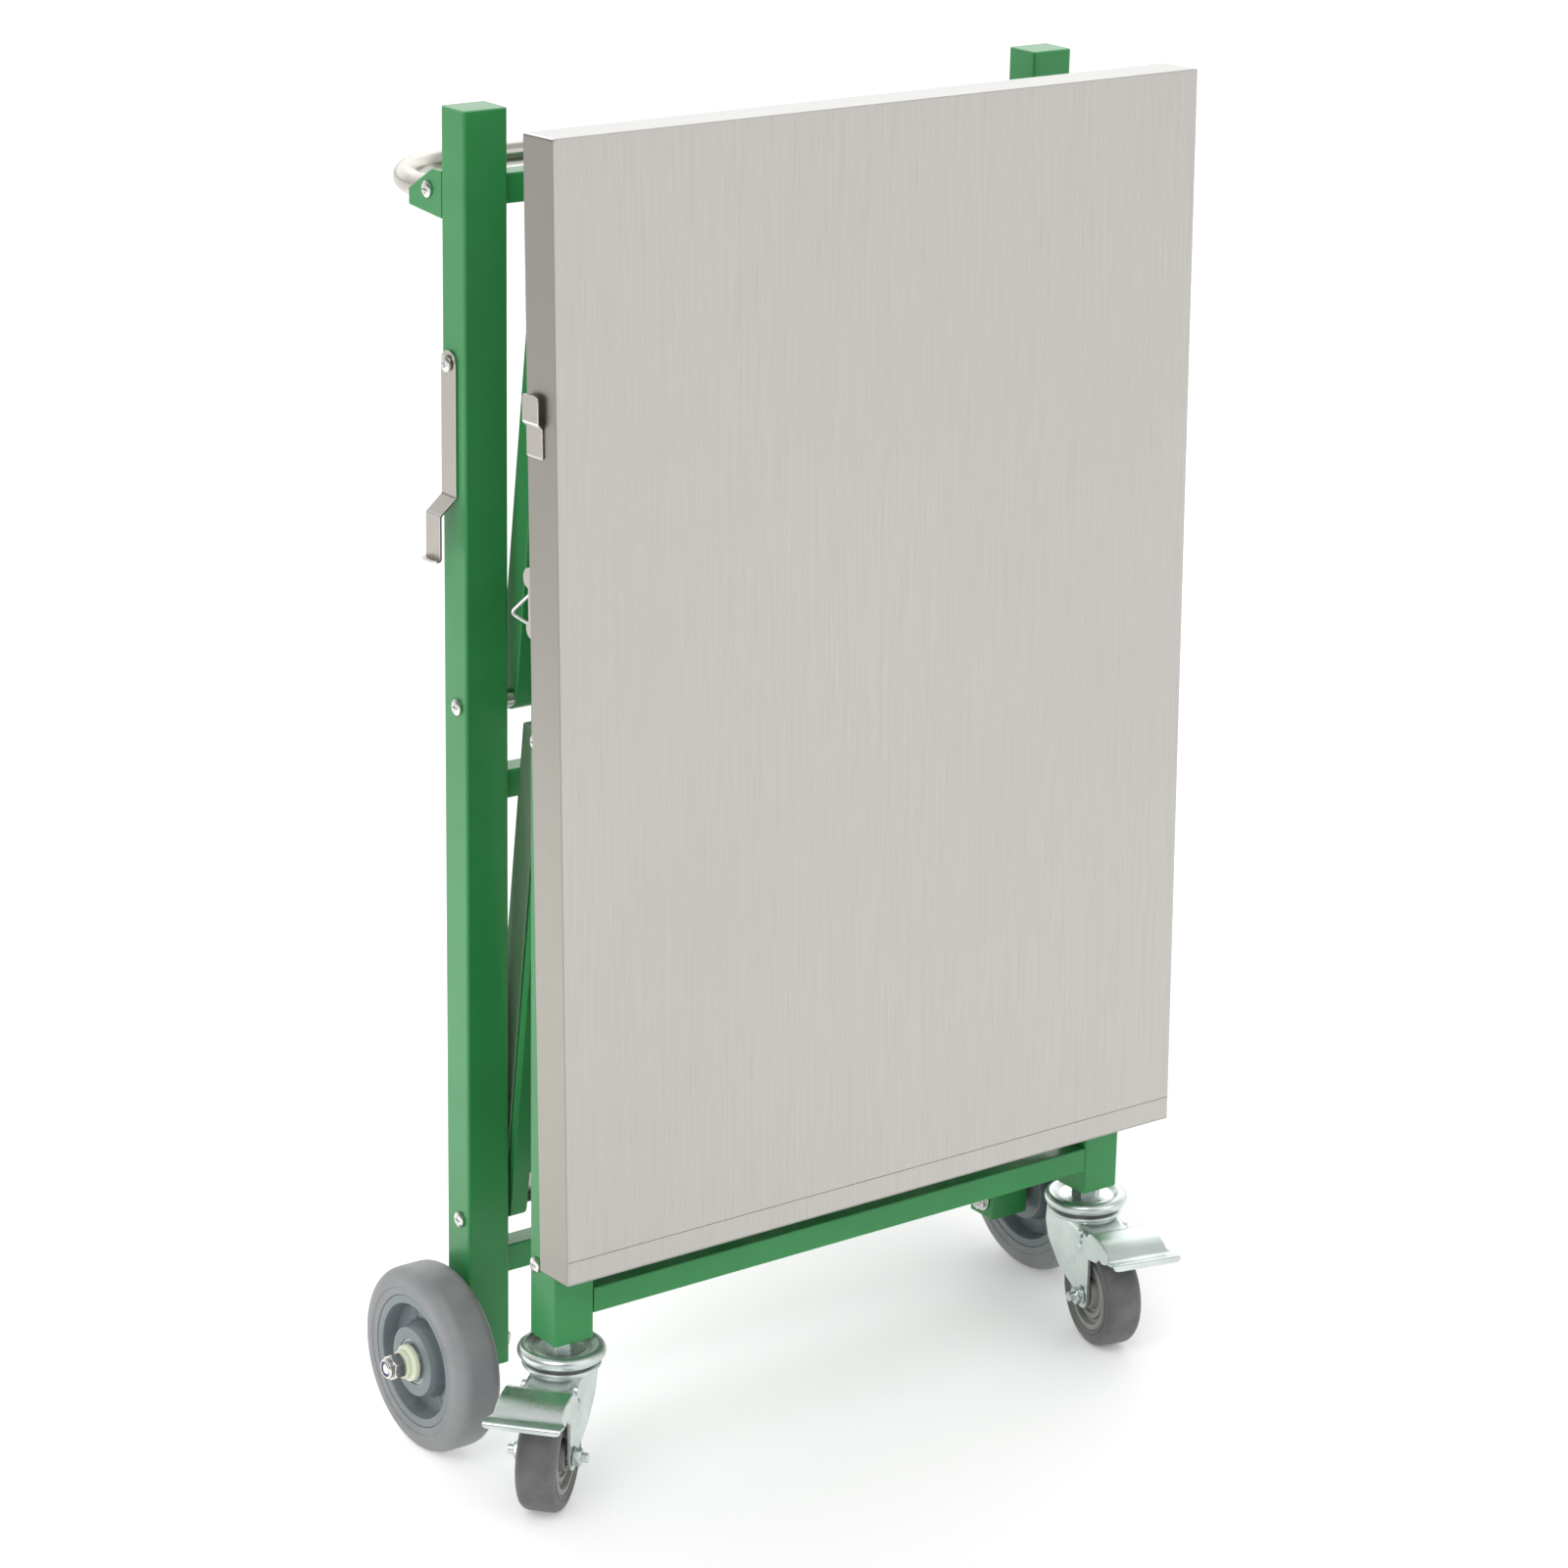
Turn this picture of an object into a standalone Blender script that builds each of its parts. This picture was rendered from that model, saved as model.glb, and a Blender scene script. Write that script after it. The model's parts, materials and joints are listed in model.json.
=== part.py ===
"""Folding utility cart, in its folded, standing state.

Sizes are in metres. +Z is up, +X is the cart's right, seen from its table top, and +Y is towards
the push handle. The rear frame carries the fixed wheels. Two pairs of links fold between it and
the front frame: the upper pair carries the table top, the lower pair is the two-part shelf.
"""
import math

import bmesh
import bpy
from mathutils import Euler, Vector

# Running gaps between pieces
GAP = 0.0003
SIDE_PLAY = 0.001
OVERRUN = 0.002
MERGE = 0.0001

# Rear frame
POST_HALF_SPAN = 0.2865
POST_WIDE = 0.038
POST_DEEP = 0.032
POST_FOOT = 0.0605
POST_TOP = 1.073
POST_EDGE = 0.0022
TUBE_WALL = 0.0015
BAR_TALL = 0.023
BAR_DEEP = 0.021
BAR_EDGE = 0.0015
UPPER_BAR_TOP = 1.023
MIDDLE_BAR_TOP = 0.5593
LOWER_BAR_TOP = 0.1596

# Folding links, upper and lower
LINK = 0.415
FOLDED_LEAN = math.radians(7.27)
PIVOT_BACK = -0.004
UPPER_PIVOT_Z = 0.6154
LOWER_PIVOT_Z = 0.190
UPPER_TUBE = 0.0234
UPPER_TUBE_RISE = 0.005
UPPER_REAR_PLAY = 0.0095
UPPER_NESTING = 0.0256
UPPER_EDGE = 0.002
UPPER_CROSS_INSET = 0.075
HINGE_ROD_RADIUS = 0.004

# Lower shelf
SHELF_RISE = 0.024
SHELF_END_LIP = 0.011
SHELF_OVERHANG = 0.010
SHEET = 0.0012
SHEET_EDGE = 0.0012
RAIL_TALL_BELOW = 0.008
CHANNEL_WIDE = 0.015
CHANNEL_WALL = 0.0025
SHELF_REAR_INSET = 0.0022
SHELF_FRONT_INSET = 0.0195
STRIP_WIDE = 0.026
STRIP_THICK = 0.003

# Front frame
FRONT_FRAME_INSET = 0.003
FRONT_POST = 0.036
FRONT_PIVOT_INSET = 0.0093
FRONT_FOOT = 0.1288
FRONT_BAR_TALL = 0.0214
FRONT_BAR_TOP = 0.1710
FRONT_BAR_DEEP = 0.0214
FRONT_UPPER_BAR_DEEP = 0.0138
FRONT_UPPER_BAR_DROP = 0.045
EAR_THICK = 0.005
EAR_RADIUS = 0.008
EAR_FOOT = 0.016

# Table top
TOP_SIDE_OVERHANG = 0.0135
TOP_LONG = 0.875
TOP_THICK = 0.0386
TOP_LEAN = math.radians(1.56)
TOP_FRONT = -0.178
TOP_FOOT = 0.201
TOP_EDGE = 0.0016
TOP_END_LIP = 0.024
TOP_REST_GAP = 0.001
TURN_AXIS_DEPTH = 0.0187
TOP_TRAVEL = 0.428
SLIDE_RAIL_INSET = 0.0185
SLIDE_RAIL_WIDE = 0.022
SLIDE_RAIL_DEPTH = 0.025
SLIDE_RAIL_WALL = 0.0015
SLIDE_SLOT = 0.0084
SHOE_LONG = 0.030
SHOE_THICK = 0.0055
SHOE_PLAY = 0.0006
SHAFT_RADIUS = 0.004

# Bolts, washers and nuts
BOLT_RADIUS = 0.003
HEAD_RADIUS = 0.0062
HEAD_TALL = 0.0032
WASHER_RADIUS = 0.007
NUT_ACROSS = 0.0088
NUT_TALL = 0.005

# Push handle and its brackets
HANDLE_RADIUS = 0.0095
HANDLE_WALL = 0.0012
HANDLE_INSET = 0.0157
HANDLE_START_Y = 0.0185
HANDLE_START_Z = 1.010
HANDLE_REACH = 0.146
HANDLE_Z = 1.003
HANDLE_BEND = 0.075
BRACKET_WALL = 0.003
BRACKET_TOP = 1.024
BRACKET_PEAK_Y = 0.0288
BRACKET_NOSE_Y = 0.0615
BRACKET_NOSE_TOP = 1.0045
BRACKET_NOSE_FOOT = 0.992
BRACKET_FOOT = 0.9885
BRACKET_BOLT_Y = 0.0338

# Rear wheels
WHEEL_RADIUS = 0.076
WHEEL_PLAY = 0.0045
WHEEL_WIDE = 0.040
WHEEL_WEB = 0.009
HUB_RADIUS = 0.028
RIM_RADIUS = 0.054
RIM_WALL = 0.007
RIM_STEP = 0.002
TYRE_SHOULDER = 0.010
AXLE_RADIUS = 0.006
AXLE_COLLAR = 0.011
AXLE_DOME = 0.010
BUSH_RADIUS = 0.015
BUSH_NECK = 0.0115
BUSH_LONG = 0.0098
BUSH_FLANGE = 0.005
AXLE_NUT_ACROSS = 0.019
AXLE_NUT_TALL = 0.0105
AXLE_NUT_RING = 0.0035

# Swivel casters, measured from the foot of the front post
CASTER_RADIUS = 0.045
CASTER_WIDE = 0.032
CASTER_TRAIL = 0.038
CASTER_AIM_LEFT = math.radians(221)
CASTER_AIM_RIGHT = math.radians(257)
CASTER_BORE = 0.004
CASTER_RIM_RADIUS = 0.031
CASTER_HUB_RADIUS = 0.012
CASTER_RIM_DISH = 0.006
CASTER_SHOULDER = 0.006
STEM_RADIUS = 0.006
STEM_UP = 0.022
STEM_NUT_RADIUS = 0.012
RACE_RADIUS = 0.035
RACE_TOP = 0.0065
RACE_DISH_RADIUS = 0.019
RACE_DISH = 0.004
RACE_DEEP = 0.0105
FORK_PLATE_TOP = 0.0173
FORK_PLATE_RADIUS = 0.031
FORK_PLATE_TALL = 0.0072
FORK_INNER_HALF = 0.0182
FORK_WALL = 0.0026
FORK_AXLE_EYE = 0.011
CASTER_AXLE_HALF = 0.0325
CASTER_HEAD_ACROSS = 0.013
CASTER_HEAD_TALL = 0.006

# Brake pedals, measured along the caster's aim and down from the post's foot
PEDAL_HALF = 0.027
PEDAL_WALL = 0.002
PEDAL_PIN_ALONG = 0.0445
PEDAL_PIN_DOWN = 0.0365
PEDAL_PIN_RADIUS = 0.003
PEDAL_TOP_ALONG = 0.060
PEDAL_TOP_DOWN = 0.0165
PEDAL_FOLD_ALONG = 0.088
PEDAL_NOSE_ALONG = 0.100
PEDAL_NOSE_DOWN = 0.0265
PEDAL_TIP_ALONG = 0.116
PEDAL_TIP_DOWN = 0.0225
PEDAL_LIP_HALF = 0.031
PEDAL_CHEEK_ALONG = 0.078
PEDAL_CHEEK_DOWN = 0.041

# Lock hook on the left rear post, and its keeper on the table top
HOOK_Z = 0.882
HOOK_BACK = 0.0042
HOOK_WIDE = 0.020
HOOK_THICK = 0.002
HOOK_FLAT = 0.102
HOOK_JOG = 0.0142
HOOK_JOG_DROP = 0.012
HOOK_LONG = 0.150
HOOK_LIP = 0.007
CLIP_WIDE = 0.0205
CLIP_THICK = 0.0015
CLIP_BACK = 0.0015
CLIP_DROP = 0.026
CLIP_TONGUE = 0.021
CLIP_STEP = 0.0035
CLIP_STAND_OFF = 0.0038
CLIP_PLAY = 0.0045

# Draw latch inside the table top's left lip
LATCH_PLATE_LOW = 0.049
LATCH_PLATE_HIGH = 0.103
LATCH_PLATE_REAR = 0.031
LATCH_PLATE_DEEP = 0.024
LATCH_THICK = 0.0015
LATCH_CORNER = 0.009
LATCH_STUD = 0.002
LATCH_STUD_BACK = 0.0085
LATCH_STUD_DROP = 0.0085
LEVER_THICK = 0.003
LEVER_HALF = 0.0055
LEVER_LONG = 0.036
LEVER_PIN_ALONG = 0.009
BAIL_WIRE = 0.00125
BAIL_LONG = 0.033
BAIL_HALF = 0.010
BAIL_EYE = 0.0028

# How finely round pieces are divided
ROUND_SMALL = 10
ROUND_MEDIUM = 16
ROUND_LARGE = 28

# Places that follow from the sizes above
POST_INNER = POST_HALF_SPAN - POST_WIDE
HANDLE_X = POST_HALF_SPAN - HANDLE_INSET
WHEEL_INNER_X = POST_HALF_SPAN + WHEEL_PLAY
TOP_WIDE = 2 * (POST_HALF_SPAN + TOP_SIDE_OVERHANG)
UPPER_REAR_HALF = POST_INNER - UPPER_REAR_PLAY
UPPER_FRONT_HALF = UPPER_REAR_HALF - UPPER_NESTING
FRONT_HALF_SPAN = POST_HALF_SPAN - FRONT_FRAME_INSET
FRONT_INNER = FRONT_HALF_SPAN - FRONT_POST
SLIDE_RAIL_X = FRONT_HALF_SPAN - SLIDE_RAIL_INSET
SHELF_HALF_WIDTH = FRONT_INNER - SIDE_PLAY
SHELF_REAR_HALF = SHELF_HALF_WIDTH - SHELF_REAR_INSET
SHELF_FRONT_HALF = SHELF_HALF_WIDTH - SHELF_FRONT_INSET
LINK_RUN = LINK * math.sin(FOLDED_LEAN)
LINK_RISE = LINK * math.cos(FOLDED_LEAN)
FRONT_PIVOT_Y = PIVOT_BACK - 2 * LINK_RUN
FRONT_REAR_Y = FRONT_PIVOT_Y + FRONT_PIVOT_INSET
FRONT_FACE_Y = FRONT_REAR_Y - FRONT_POST
FRONT_MIDDLE_Y = FRONT_REAR_Y - FRONT_POST / 2
UPPER_HALF = UPPER_TUBE / 2
TURN_AXIS_Z = (UPPER_PIVOT_Z + UPPER_TUBE_RISE + UPPER_HALF + TOP_REST_GAP
               + TOP_THICK - TURN_AXIS_DEPTH)
TOP_BELOW_AXIS = ((TURN_AXIS_Z - TOP_FOOT + TURN_AXIS_DEPTH * math.sin(TOP_LEAN))
                  / math.cos(TOP_LEAN))
TURN_AXIS_Y = (TOP_FRONT + TOP_BELOW_AXIS * math.sin(TOP_LEAN)
               + TURN_AXIS_DEPTH * math.cos(TOP_LEAN))
FRONT_TOP = TURN_AXIS_Z - (SLIDE_RAIL_DEPTH - TURN_AXIS_DEPTH) - TUBE_WALL
SWIVEL_X = FRONT_HALF_SPAN - FRONT_POST / 2
CASTER_AXLE_DOWN = FRONT_FOOT - CASTER_RADIUS
WHEEL_MIDDLE = WHEEL_INNER_X + WHEEL_WIDE / 2
AXLE_END = WHEEL_INNER_X + WHEEL_WIDE + BUSH_LONG + AXLE_NUT_TALL + AXLE_NUT_RING + 2 * GAP
LEFT_REACH = (SWIVEL_X - PEDAL_TIP_ALONG * math.cos(CASTER_AIM_LEFT)
              - PEDAL_LIP_HALF * math.sin(CASTER_AIM_LEFT))
FRONT_REACH = -(FRONT_MIDDLE_Y + PEDAL_TIP_ALONG * math.sin(CASTER_AIM_RIGHT)
                + PEDAL_LIP_HALF * math.cos(CASTER_AIM_RIGHT))
REAR_REACH = HANDLE_REACH + HANDLE_RADIUS
CART_X = (LEFT_REACH - AXLE_END) / 2
REAR_LINE_Y = (FRONT_REACH - REAR_REACH) / 2

for old in list(bpy.data.objects):
    bpy.data.objects.remove(old)

CART = bpy.data.collections.new("folding_utility_cart")
CUTTERS = bpy.data.collections.new("cutters")
bpy.context.scene.collection.children.link(CART)
bpy.context.scene.collection.children.link(CUTTERS)


def finish(name, colour, roughness, metallic):
    """Make one Principled material."""
    material = bpy.data.materials.new(name)
    material.use_nodes = True
    shader = material.node_tree.nodes["Principled BSDF"]
    shader.inputs["Base Color"].default_value = (*colour, 1)
    shader.inputs["Roughness"].default_value = roughness
    shader.inputs["Metallic"].default_value = metallic
    material.diffuse_color = (*colour, 1)
    return material


GREEN = finish("green_powder_coat", (0.045, 0.29, 0.105), 0.38, 0)
STAINLESS = finish("brushed_stainless", (0.62, 0.60, 0.57), 0.34, 1)
ZINC = finish("zinc_plate", (0.66, 0.70, 0.69), 0.22, 1)
BOLT_STEEL = finish("bolt_steel", (0.60, 0.59, 0.56), 0.25, 1)
GREY_TYRE = finish("grey_tyre_rubber", (0.20, 0.21, 0.22), 0.55, 0)
GREY_RIM = finish("grey_rim_plastic", (0.24, 0.27, 0.29), 0.42, 0)
DARK_TYRE = finish("dark_caster_rubber", (0.085, 0.085, 0.09), 0.5, 0)
CASTER_RIM = finish("caster_rim_plastic", (0.20, 0.20, 0.195), 0.45, 0)
NYLON = finish("cream_nylon", (0.80, 0.77, 0.62), 0.45, 0)


def axis_point(name, parent, spot, turn=(0, 0, 0)):
    """An empty on a joint's axis, which carries the pieces of one moving body."""
    point = bpy.data.objects.new(name, None)
    point.parent = parent
    point.location = spot
    point.rotation_euler = turn
    CART.objects.link(point)
    return point


def piece(name, mesh, parent, material, spot=(0, 0, 0), turn=(0, 0, 0)):
    """Put a mesh in the cart under a name, on the frame that carries it."""
    mesh.name = name
    mesh.materials.clear()
    mesh.materials.append(material)
    item = bpy.data.objects.new(name, mesh)
    item.parent = parent
    item.location = spot
    item.rotation_euler = turn
    CART.objects.link(item)
    return item


def box_mesh(low, high, open_faces=()):
    """A box between two corners, without the faces whose normals are named."""
    shape = bmesh.new()
    bmesh.ops.create_cube(shape, size=1)
    low, high = Vector(low), Vector(high)
    for vertex in shape.verts:
        share = vertex.co + Vector((0.5, 0.5, 0.5))
        vertex.co = low + Vector(a * b for a, b in zip(share, high - low))
    for normal in open_faces:
        faces = [face for face in shape.faces if face.normal.dot(Vector(normal)) > 0.9]
        bmesh.ops.delete(shape, geom=faces, context="FACES")
    mesh = bpy.data.meshes.new("box")
    shape.to_mesh(mesh)
    shape.free()
    return mesh


def bevelled(item, width, steps=2):
    """Round a piece's sharp edges."""
    bevel = item.modifiers.new("Edges", "BEVEL")
    bevel.width = width
    bevel.segments = steps
    bevel.limit_method = "ANGLE"
    bevel.angle_limit = math.radians(50)
    return item


def walled(item, wall):
    """Give an open surface its wall, inwards."""
    skin = item.modifiers.new("Wall", "SOLIDIFY")
    skin.thickness = wall
    skin.offset = -1
    skin.use_even_offset = True
    skin.use_quality_normals = True
    return item


def boolean(item, tool, operation):
    """Cut a piece with a tool, or weld a tool to it. The tool leaves the cart."""
    cut = item.modifiers.new(tool.name, "BOOLEAN")
    cut.operation = operation
    cut.solver = "EXACT"
    cut.object = tool
    if tool.name in CART.objects:
        CART.objects.unlink(tool)
        CUTTERS.objects.link(tool)
    tool.hide_render = True
    tool.display_type = "WIRE"
    return item


def cut_box(item, parent, low, high):
    """Take a box out of a piece."""
    return boolean(item, piece(item.name + "_cut", box_mesh(low, high), parent, GREEN), "DIFFERENCE")


def weld_box(item, parent, low, high):
    """Add a box to a piece."""
    return boolean(item, piece(item.name + "_weld", box_mesh(low, high), parent, GREEN), "UNION")


def cylinder_mesh(radius, start, end, sides):
    """A cylinder along Z from one height to another."""
    shape = bmesh.new()
    bmesh.ops.create_cone(shape, cap_ends=True, segments=sides, radius1=radius, radius2=radius,
                          depth=end - start)
    bmesh.ops.translate(shape, verts=shape.verts, vec=(0, 0, (start + end) / 2))
    mesh = bpy.data.meshes.new("cylinder")
    shape.to_mesh(mesh)
    shape.free()
    return mesh


def outward(side):
    """The turn that lays a piece's own Z along the cart's X, out to one side."""
    return (0, side * math.pi / 2, 0)


def cross_hole(item, parent, y, z, radius, low, high, sides=ROUND_SMALL):
    """Drill a hole along X through a piece, between two places on X. Its flats clear the radius."""
    mesh = cylinder_mesh(radius / math.cos(math.pi / sides), low, high, sides)
    drill = piece(item.name + "_hole", mesh, parent, GREEN, (0, y, z), outward(1))
    return boolean(item, drill, "DIFFERENCE")


def turned(name, profile, parent, material, spot, turn, steps=ROUND_MEDIUM, ring=False):
    """Turn a profile of (radius, height) about Z. It runs down its outer side; a ring closes."""
    mesh = bpy.data.meshes.new(name)
    points = [(radius, 0, height) for radius, height in profile]
    edges = [(i, i + 1) for i in range(len(points) - 1)]
    if ring:
        edges.append((len(points) - 1, 0))
    mesh.from_pydata(points, edges, [])
    item = piece(name, mesh, parent, material, spot, turn)
    screw = item.modifiers.new("Turn", "SCREW")
    screw.steps = steps
    screw.render_steps = steps
    screw.use_merge_vertices = True
    screw.merge_threshold = MERGE / 2
    return item


def arc(centre, radius, start, end, steps):
    """Points along an arc, from one angle to another in degrees."""
    angles = [math.radians(start + (end - start) * i / steps) for i in range(steps + 1)]
    return [(centre[0] + radius * math.cos(a), centre[1] + radius * math.sin(a)) for a in angles]


def curve_to_piece(curve, name, parent, material, spot, turn):
    """Make a curve a mesh piece with its caps welded."""
    guide = bpy.data.objects.new(name + "_curve", curve)
    bpy.context.scene.collection.objects.link(guide)
    bpy.context.view_layer.update()
    graph = bpy.context.evaluated_depsgraph_get()
    mesh = bpy.data.meshes.new_from_object(guide.evaluated_get(graph))
    bpy.data.objects.remove(guide)
    shape = bmesh.new()
    shape.from_mesh(mesh)
    bmesh.ops.remove_doubles(shape, verts=shape.verts, dist=MERGE / 10)
    bmesh.ops.recalc_face_normals(shape, faces=shape.faces)
    shape.to_mesh(mesh)
    shape.free()
    return piece(name, mesh, parent, material, spot, turn)


def plate(name, outline, low, high, parent, material, upright=True):
    """Extrude an outline of (y, z) along X between two places, or of (x, y) along Z."""
    curve = bpy.data.curves.new(name, "CURVE")
    curve.dimensions = "2D"
    curve.fill_mode = "BOTH"
    curve.extrude = (high - low) / 2
    spline = curve.splines.new("POLY")
    spline.points.add(len(outline) - 1)
    for point, (a, b) in zip(spline.points, outline):
        point.co = (a, b, 0, 1)
    spline.use_cyclic_u = True
    middle = (low + high) / 2
    spot = (middle, 0, 0) if upright else (0, 0, middle)
    turn = (math.pi / 2, 0, math.pi / 2) if upright else (0, 0, 0)
    return curve_to_piece(curve, name, parent, material, spot, turn)


def wire(name, points, radius, parent, material, detail, closed=False, caps=True):
    """A round wire or tube along a list of points."""
    curve = bpy.data.curves.new(name, "CURVE")
    curve.dimensions = "3D"
    curve.bevel_depth = radius
    curve.bevel_resolution = detail
    curve.use_fill_caps = caps and not closed
    spline = curve.splines.new("POLY")
    spline.points.add(len(points) - 1)
    for point, place in zip(spline.points, points):
        point.co = (*place, 1)
    spline.use_cyclic_u = closed
    return curve_to_piece(curve, name, parent, material, (0, 0, 0), (0, 0, 0))


def hexagon(name, across, start, end, parent, spot, turn):
    """A hexagon prism of a given size across its flats, along its own Z."""
    mesh = cylinder_mesh(across / math.sqrt(3), start, end, 6)
    return piece(name, mesh, parent, BOLT_STEEL, spot, turn)


def pan_bolt(name, parent, side, y, z, head_x, shank_end, sleeve=None, nut=True):
    """A bolt along X: its domed head outside head_x, a sleeve or washer, and a nut."""
    under = head_x + GAP
    top = under + HEAD_TALL
    profile = [(0, top), (HEAD_RADIUS * 0.5, top), (HEAD_RADIUS * 0.82, top - HEAD_TALL * 0.25),
               (HEAD_RADIUS, top - HEAD_TALL * 0.7), (HEAD_RADIUS, under), (BOLT_RADIUS, under)]
    if sleeve:
        outer, inner, radius = sleeve
        profile += [(BOLT_RADIUS, outer), (radius, outer), (radius, inner), (BOLT_RADIUS, inner)]
    profile += [(BOLT_RADIUS, shank_end), (0, shank_end)]
    bolt = turned(name, profile, parent, BOLT_STEEL, (0, y, z), outward(side), ROUND_SMALL)
    if nut:
        nut_piece = hexagon(name + "_nut", NUT_ACROSS, shank_end - GAP, shank_end + NUT_TALL, parent,
                            (0, y, z), outward(side))
        boolean(bolt, nut_piece, "UNION")
    return bolt


SIDES = (("left", -1), ("right", 1))
cart = axis_point("cart", None, (CART_X, REAR_LINE_Y, 0))


def rear_posts():
    """Two closed-top posts of square tube, drilled for the pivots, the axle and the hook."""
    half = POST_DEEP / 2
    for word, side in SIDES:
        low_x, high_x = sorted((side * POST_INNER, side * POST_HALF_SPAN))
        mesh = box_mesh((low_x, -half, POST_FOOT), (high_x, half, POST_TOP), [(0, 0, -1)])
        post = walled(bevelled(piece("rear_post_" + word, mesh, cart, GREEN), POST_EDGE), TUBE_WALL)
        for y, z, radius, sides in ((PIVOT_BACK, UPPER_PIVOT_Z, BOLT_RADIUS, ROUND_SMALL),
                                    (PIVOT_BACK, LOWER_PIVOT_Z, BOLT_RADIUS, ROUND_SMALL),
                                    (0, WHEEL_RADIUS, AXLE_RADIUS, ROUND_MEDIUM)):
            cross_hole(post, cart, y, z, radius + GAP, low_x - OVERRUN, high_x + OVERRUN, sides)
        if side < 0:
            cross_hole(post, cart, HOOK_BACK, HOOK_Z, BOLT_RADIUS + GAP, low_x - OVERRUN,
                       low_x + TUBE_WALL + OVERRUN)


def crossbar(name, parent, half_span, middle_y, deep, top, tall):
    """A square tube between two posts, open at its ends."""
    low = (-half_span + GAP, middle_y - deep / 2, top - tall)
    high = (half_span - GAP, middle_y + deep / 2, top)
    bar = piece(name, box_mesh(low, high, [(1, 0, 0), (-1, 0, 0)]), parent, GREEN)
    return walled(bevelled(bar, BAR_EDGE), TUBE_WALL)


def rear_crossbars():
    """The three bars that join the rear posts."""
    for name, top in (("rear_crossbar_upper", UPPER_BAR_TOP), ("rear_crossbar_middle", MIDDLE_BAR_TOP),
                      ("rear_crossbar_lower", LOWER_BAR_TOP)):
        crossbar(name, cart, POST_INNER, 0, BAR_DEEP, top, BAR_TALL)


def handle_path():
    """Half of the handle's centre line: a straight arm, a quarter bend and half of the run."""
    bend_y = HANDLE_REACH - HANDLE_BEND
    slope = (HANDLE_Z - HANDLE_START_Z) / (bend_y - HANDLE_START_Y)
    path = [(-HANDLE_X, HANDLE_START_Y, HANDLE_START_Z)]
    for x, y in arc((-HANDLE_X + HANDLE_BEND, bend_y), HANDLE_BEND, 180, 90, 8):
        path.append((x, y, HANDLE_START_Z + slope * (min(y, bend_y) - HANDLE_START_Y)))
    return path


def push_handle():
    """The U-shaped stainless tube and the channel brackets that carry its ends."""
    left = handle_path()
    points = left + [(-x, y, z) for x, y, z in reversed(left)]
    handle = walled(wire("handle", points, HANDLE_RADIUS, cart, STAINLESS, 4, caps=False), HANDLE_WALL)
    share = (BRACKET_BOLT_Y - HANDLE_START_Y) / (HANDLE_REACH - HANDLE_BEND - HANDLE_START_Y)
    bolt_z = HANDLE_START_Z + share * (HANDLE_Z - HANDLE_START_Z)
    back = POST_DEEP / 2 + GAP
    outline = [(back, BRACKET_FOOT), (BRACKET_NOSE_Y, BRACKET_NOSE_FOOT),
               (BRACKET_NOSE_Y, BRACKET_NOSE_TOP), (BRACKET_PEAK_Y, BRACKET_TOP), (back, BRACKET_TOP)]
    inner_x = HANDLE_X - (POST_HALF_SPAN - HANDLE_X)
    for word, side in SIDES:
        low_x, high_x = sorted((side * inner_x, side * POST_HALF_SPAN))
        bracket = plate("handle_bracket_" + word, outline, low_x, high_x, cart, GREEN)
        cut_box(bracket, cart,
                (low_x + BRACKET_WALL, back - OVERRUN, BRACKET_NOSE_FOOT + BRACKET_WALL / 2),
                (high_x - BRACKET_WALL, BRACKET_NOSE_Y + OVERRUN, BRACKET_TOP + OVERRUN))
        for item in (bracket, handle):
            cross_hole(item, cart, BRACKET_BOLT_Y, bolt_z, BOLT_RADIUS + GAP,
                       low_x - OVERRUN, high_x + OVERRUN)
        pan_bolt("handle_bolt_" + word, cart, side, BRACKET_BOLT_Y, bolt_z, POST_HALF_SPAN,
                 inner_x - GAP - NUT_TALL)


def axle(word, side):
    """The wheel's bolt: dome inside the post, collar outside it, lock nut past the bush."""
    dome = POST_INNER - GAP
    outer = WHEEL_INNER_X + WHEEL_WIDE + BUSH_LONG + 2 * GAP
    collar = (WHEEL_INNER_X - GAP, POST_HALF_SPAN + GAP)
    profile = [(0, AXLE_END), (AXLE_RADIUS, AXLE_END), (AXLE_RADIUS, collar[0]),
               (AXLE_COLLAR, collar[0]), (AXLE_COLLAR, collar[1]), (AXLE_RADIUS, collar[1]),
               (AXLE_RADIUS, dome)]
    profile += arc((0, dome), AXLE_DOME, 0, -90, 3)[:-1] + [(0, dome - AXLE_DOME)]
    bolt = turned("axle_" + word, profile, cart, BOLT_STEEL, (0, 0, WHEEL_RADIUS), outward(side))
    nut = hexagon("axle_nut", AXLE_NUT_ACROSS, outer, outer + AXLE_NUT_TALL, cart,
                  (0, 0, WHEEL_RADIUS), outward(side))
    ring = piece("axle_nut_ring", cylinder_mesh(AXLE_NUT_ACROSS * 0.44, outer + AXLE_NUT_TALL / 2,
                                                AXLE_END - GAP, ROUND_MEDIUM),
                 cart, BOLT_STEEL, (0, 0, WHEEL_RADIUS), outward(side))
    boolean(bolt, nut, "UNION")
    boolean(bolt, ring, "UNION")


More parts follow.
